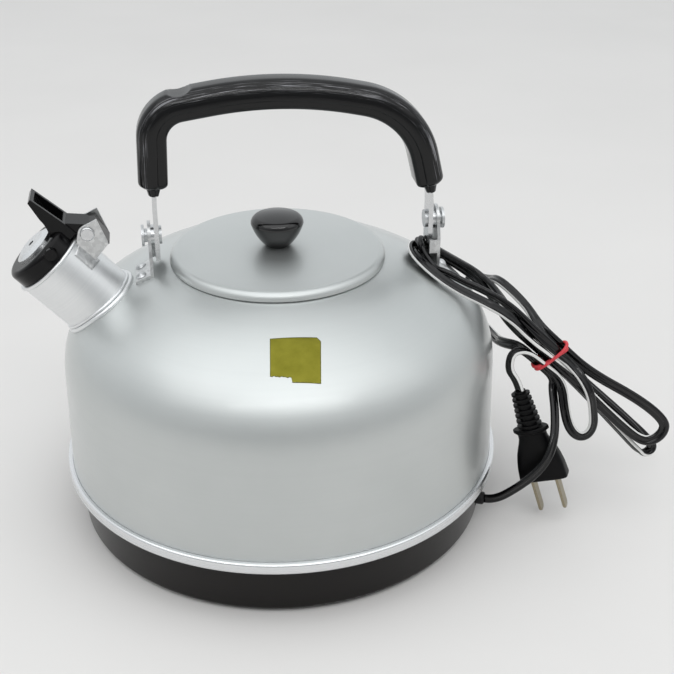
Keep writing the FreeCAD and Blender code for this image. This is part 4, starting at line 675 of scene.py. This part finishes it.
def grid_faces(rows, columns):
    """Faces of four corners over a grid of points, row after row."""
    index = np.arange(rows * columns).reshape(rows, columns)
    corners = np.stack([index[:-1, :-1], index[:-1, 1:], index[1:, 1:], index[1:, :-1]], axis=-1)
    return corners.reshape(-1, 4).tolist()


# Along the spout and round it: the skirt narrows a little from its bent edge to its free edge
share_along, share_round = np.meshgrid(np.linspace(0, 1, 15), np.linspace(0, 1, 11))
skirt_along = skirt_start + skirt_length * share_along + skirt_taper * share_round * (0.5 - share_along)
skirt_turn = np.radians(skirt_high + skirt_sweep * share_round)[..., None]
skirt_axis = spout_foot + skirt_along[..., None] * spout_way
for side, way in (("front", -1), ("back", 1)):
    over = np.cos(skirt_turn) * spout_up + way * np.sin(skirt_turn) * side_way
    skirt_points = (skirt_axis + skirt_radius * over)[:, ::-way] / 1000
    skirt = mesh_object("bracket_skirt_" + side, skirt_points, grid_faces(*skirt_along.shape))
    thick = skirt.modifiers.new("thick", "SOLIDIFY")
    thick.thickness = 0.0009
    thick.offset = 1.0
    skirt.data.materials.append(zinc)
    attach(skirt, "kettle")

# Screws, pins, bail and rivets: turned and flat pieces in plated steel, and rivets in soft aluminium. The
# rivets hold the ears to the shoulder and the bail to the ears, with a spring washer between the two.

# Plated steel is brighter and smoother, with rubbing marks about 2 mm apart
steel, tree, shader = new_material("plated_steel", {"Metallic": 1.0})
place = add_node(tree, "TexCoord", {}, {})
marks = add_node(tree, "TexNoise", {"Scale": 1000 / 2, "Detail": 4.0}, {"Vector": place.outputs["Object"]})
tone = add_node(tree, "ValToRGB", {}, {"Fac": marks.outputs["Fac"]})
tone.color_ramp.elements[0].color = linear("c2c3c4")
tone.color_ramp.elements[1].color = linear("e0e1e2")
tree.links.new(tone.outputs["Color"], shader.inputs["Base Color"])
dull = add_node(tree, "MapRange", {"To Min": 0.18, "To Max": 0.34}, {"Value": marks.outputs["Fac"]})
tree.links.new(dull.outputs["Result"], shader.inputs["Roughness"])
dress(steel, "base_screws", "clamp_stud", "clamp_nut", "thermal_cutout", "heating_element", "knob_screw",
      "hinge_pin", "pivot_washers", "handle_strap")

# Soft aluminium rivets are as dull as the sheet, with dents 2.86 mm wide from the tool that set them
rivet, tree, shader = new_material("rivet_aluminium", {"Metallic": 1.0})
place = add_node(tree, "TexCoord", {}, {})
dents = add_node(tree, "TexNoise", {"Scale": 1000 / 2.86, "Detail": 3.0},
                 {"Vector": place.outputs["Object"]})
tone = add_node(tree, "ValToRGB", {}, {"Fac": dents.outputs["Fac"]})
tone.color_ramp.elements[0].color = linear("c2c4c5")
tone.color_ramp.elements[1].color = linear("d8dadb")
tree.links.new(tone.outputs["Color"], shader.inputs["Base Color"])
dull = add_node(tree, "MapRange", {"To Min": 0.34, "To Max": 0.50}, {"Value": dents.outputs["Fac"]})
tree.links.new(dull.outputs["Result"], shader.inputs["Roughness"])
skin = add_node(tree, "Bump", {"Strength": 0.3, "Distance": 0.0004}, {"Height": dents.outputs["Fac"]})
tree.links.new(skin.outputs["Normal"], shader.inputs["Normal"])
dress(rivet, "front_ear_rivets", "rear_ear_rivets", "pivot_rivets")

# Terminals and wires: a ceramic block on the tray's floor takes the lead's cores, and two wires in woven
# glass sleeves run from it to the heater's pins.

# Glazed ceramic and woven glass are both an off-white with a faint mottle over 3.33 mm
ceramic, tree, shader = new_material("off_white_ceramic", {"Roughness": 0.4})
place = add_node(tree, "TexCoord", {}, {})
mottle = add_node(tree, "TexNoise", {"Scale": 1000 / 3.33, "Detail": 3.0},
                  {"Vector": place.outputs["Object"]})
tone = add_node(tree, "ValToRGB", {}, {"Fac": mottle.outputs["Fac"]})
tone.color_ramp.elements[0].color = linear("d8d2c6")
tone.color_ramp.elements[1].color = linear("ece8df")
tree.links.new(tone.outputs["Color"], shader.inputs["Base Color"])
dress(ceramic, "terminal_block", "inner_wires")

# Handle and knob: moulded in black phenolic and buffed to a gloss. The grip is cast round a flat steel
# bail, with a narrower band along its inner side, a thumb notch over the front end and ends that taper to
# the bail.


def rounded_line(corners, radii, step):
    """Points about a step apart along straight runs that are joined by arcs of the given radii."""
    rows = [corners[:1]]
    for before, at, after, radius in zip(corners, corners[1:], corners[2:], radii):
        back = (before - at) / np.linalg.norm(before - at)
        ahead = (after - at) / np.linalg.norm(after - at)
        turn = np.pi - np.arccos(back @ ahead)
        centre = at + (back + ahead) / np.linalg.norm(back + ahead) * radius / np.cos(turn / 2)
        first = at + back * radius * np.tan(turn / 2) - centre
        last = at + ahead * radius * np.tan(turn / 2) - centre
        share = np.linspace(0, 1, 40)[:, None]
        spokes = np.sin((1 - share) * turn) * first + np.sin(share * turn) * last
        rows.append(centre + spokes / np.sin(turn))
    line = np.concatenate(rows + [corners[-1:]])
    travel = np.concatenate([[0], np.cumsum(np.linalg.norm(np.diff(line, axis=0), axis=1))])
    even = np.linspace(0, travel[-1], int(travel[-1] / step))
    spaced = np.column_stack([np.interp(even, travel, line[:, axis]) for axis in range(line.shape[1])])
    return spaced, even


bail_corners = np.array([(-57.9, 171.9), (-57.8, 176.0), (-56.4, 212.2), (4.0, 221.0), (65.4, 207.5),
                         (74.5, 169.0), (74.9, 166.0)])
bail_radii = (60.0, 16.0, 188.9, 37.8, 30.0)
grip_line, grip_travel = rounded_line(bail_corners, bail_radii, 0.8)
grip_deep = 9.5
grip_high = 6.9
grip_round = np.array((6.5, 8.4))
band_deep = 8.2
band_top = -2.3
band_round = 2.6
half_section = np.concatenate([
    arc_points((band_deep - band_round, band_round - grip_high), band_round, -90, 0, 9),
    arc_points((band_deep + 0.4, band_top - 0.4), 0.4, 180, 90, 4),
    arc_points((grip_deep - 0.7, band_top + 0.7), 0.7, -90, 0, 5),
    np.array((grip_deep, grip_high)) - grip_round + grip_round * arc_points((0, 0), 1, 0, 90, 14)])
grip_section = np.concatenate([half_section, half_section[::-1] * (-1, 1)])
to_end = np.minimum(grip_travel, grip_travel[-1] - grip_travel)
swell = np.sqrt(1 - (1 - np.clip((to_end - 3.6) / 3.0, 0, 1)) ** 2)
nib = 0.36 + 0.04 * np.clip(to_end, 0, 3.6)
narrow = 0.66 + 0.34 * swell
thin = nib + (1 - nib) * swell
ahead = np.gradient(grip_line, grip_travel, axis=0)
ahead /= np.linalg.norm(ahead, axis=1)[:, None]
outward = np.column_stack([-ahead[:, 1], ahead[:, 0]])
plane = grip_line[:, None] + (thin[:, None] * grip_section[None, :, 1])[..., None] * outward[:, None]
grip_points = np.stack([plane[..., 0], -narrow[:, None] * grip_section[None, :, 0], plane[..., 1]], axis=-1)
notch_reach = -45.0
notch_radius = 11.0
notch_floor = 219.0
from_notch = np.clip(grip_points[..., 0] - notch_reach, -notch_radius, notch_radius)
notch = notch_floor + notch_radius - np.sqrt(notch_radius ** 2 - from_notch ** 2)
grip_points[..., 2] = np.minimum(grip_points[..., 2], notch)
grip = skin_over("moulded_grip", grip_points / 1000, grip_travel / 1000)
grip.data.set_sharp_from_angle(angle=np.radians(50))

# Glossy black phenolic with sharp lights, its gloss uneven in streaks. Along its upper front edge, where the
# lamps' highlight falls, pale streaks are painted into its colour as a painted highlight, 18.2 mm long, with
# 130 in the way round the grip
highlit_phenolic, tree, shader = new_material("phenolic_painted_highlight", {"Specular IOR Level": 0.34})
place = add_node(tree, "TexCoord", {}, {})
stretch = add_node(tree, "Mapping", {"Scale": (130.0, 1000 / 18.2, 1.0)}, {"Vector": place.outputs["UV"]})
streak = add_node(tree, "TexNoise", {"Scale": 1.0, "Detail": 5.0, "Roughness": 0.6},
                  {"Vector": stretch.outputs["Vector"]})
spread = add_node(tree, "SeparateXYZ", {}, {"Vector": place.outputs["UV"]})
# Painted highlight: a band of pale streaks in the colour along the upper front edge, where the lamps' light
# falls
from_edge = add_node(tree, "Math", {"operation": "SUBTRACT", 1: 0.385}, {0: spread.outputs["X"]})
distance = add_node(tree, "Math", {"operation": "ABSOLUTE"}, {0: from_edge.outputs[0]})
highlight_band = add_node(tree, "MapRange", {"From Min": 0.0, "From Max": 0.06, "To Min": 1.0, "To Max": 0.0},
                  {"Value": distance.outputs[0]})
highlight_streaks = add_node(tree, "MapRange", {"From Min": 0.54, "From Max": 0.68},
                     {"Value": streak.outputs["Fac"]})
painted_highlight = add_node(tree, "Math", {"operation": "MULTIPLY"},
                {0: highlight_band.outputs["Result"], 1: highlight_streaks.outputs["Result"]})
tone = add_node(tree, "Mix", {"data_type": "RGBA", "A": linear("060607"), "B": linear("a9a9ad")},
                {"Factor": painted_highlight.outputs[0]})
tree.links.new(tone.outputs["Result"], shader.inputs["Base Color"])
dull = add_node(tree, "MapRange", {"From Min": 0.3, "From Max": 0.7, "To Min": 0.07, "To Max": 0.22},
                {"Value": streak.outputs["Fac"]})
tree.links.new(dull.outputs["Result"], shader.inputs["Roughness"])
skin = add_node(tree, "Bump", {"Strength": 0.16, "Distance": 0.0003}, {"Height": streak.outputs["Fac"]})
tree.links.new(skin.outputs["Normal"], shader.inputs["Normal"])
grip.data.materials.append(highlit_phenolic)
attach(grip, "handle")
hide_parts("handle_grip")


def phenolic(name, shine, smoothest, dullest):
    """Black phenolic with a faint mottle over 3.85 mm, and edges that are slightly rounded to the eye."""
    moulding, tree, shader = new_material(name, {"Specular IOR Level": shine})
    place = add_node(tree, "TexCoord", {}, {})
    flow = add_node(tree, "TexNoise", {"Scale": 1000 / 3.85, "Detail": 4.0},
                    {"Vector": place.outputs["Object"]})
    tone = add_node(tree, "ValToRGB", {}, {"Fac": flow.outputs["Fac"]})
    tone.color_ramp.elements[0].color = linear("070708")
    tone.color_ramp.elements[1].color = linear("111011")
    tree.links.new(tone.outputs["Color"], shader.inputs["Base Color"])
    dull = add_node(tree, "MapRange", {"To Min": smoothest, "To Max": dullest},
                    {"Value": flow.outputs["Fac"]})
    tree.links.new(dull.outputs["Result"], shader.inputs["Roughness"])
    soft_edge = add_node(tree, "Bevel", {"samples": 6, "Radius": 0.0006}, {})
    tree.links.new(soft_edge.outputs["Normal"], shader.inputs["Normal"])
    return moulding


# The buffed knob mirrors the lamps sharply, and the whistle's mouldings are a little duller with use
dress(phenolic("buffed_phenolic", 0.62, 0.04, 0.12), "lid_knob")
dress(phenolic("moulded_phenolic", 0.20, 0.08, 0.18), "whistle_lever", "whistle_cap")

# Foil: a bare square of lacquered gold foil, stuck on the front of the shoulder. It is torn at one lower
# corner and creased, and its plan is a mean of its four corners, weighted by the way across and down it.

foil_corners = np.array([(-11.9, -71.3), (10.6, -72.7), (7.7, -92.6), (-14.2, -90.6)])
wide, deep = np.meshgrid(np.linspace(0, 1, 49), np.linspace(0, 1, 49))
# Less than half of the lower edge is torn off in a ragged line, and the upper edge is drawn in slightly
torn = np.where(wide < 0.43, 0.86 + 0.10 * wide + 0.012 * np.sin(60 * wide) * np.sin(23 * wide), 1.0)
deep = deep * torn
wide = wide * (1 - np.maximum(0.09 - deep, 0) * 0.9)
weights = [(1 - deep) * (1 - wide), (1 - deep) * wide, deep * wide, deep * (1 - wide)]
foil_plan = np.stack(weights, axis=-1) @ foil_corners
reach = np.hypot(foil_plan[..., 0], foil_plan[..., 1])
lift = 0.16 + 0.05 * np.sin(9 * wide + 5 * deep) * np.sin(7 * deep)
foil_points = np.concatenate([foil_plan, (shoulder_height(reach) + lift)[..., None]], axis=-1) / 1000
foil = mesh_object("gold_foil", foil_points[:, ::-1], grid_faces(*reach.shape))
back = foil.modifiers.new("back", "SOLIDIFY")
back.thickness = 0.00008
back.offset = -1.0

# Gold lacquered foil mirrors the room in a deep yellow, broken by creases 6.25 mm apart
gold, tree, shader = new_material("gold_foil", {"Metallic": 1.0})
place = add_node(tree, "TexCoord", {}, {})
crease = add_node(tree, "TexNoise", {"Scale": 1000 / 6.25, "Detail": 4.0},
                  {"Vector": place.outputs["Object"]})
tone = add_node(tree, "ValToRGB", {}, {"Fac": crease.outputs["Fac"]})
tone.color_ramp.elements[0].color = linear("5e5c1b")
tone.color_ramp.elements[1].color = linear("827e31")
tree.links.new(tone.outputs["Color"], shader.inputs["Base Color"])
dull = add_node(tree, "MapRange", {"To Min": 0.16, "To Max": 0.30}, {"Value": crease.outputs["Fac"]})
tree.links.new(dull.outputs["Result"], shader.inputs["Roughness"])
fold = add_node(tree, "Bump", {"Strength": 0.25, "Distance": 0.0005}, {"Height": crease.outputs["Fac"]})
tree.links.new(fold.outputs["Normal"], shader.inputs["Normal"])
foil.data.materials.append(gold)
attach(foil, "kettle")
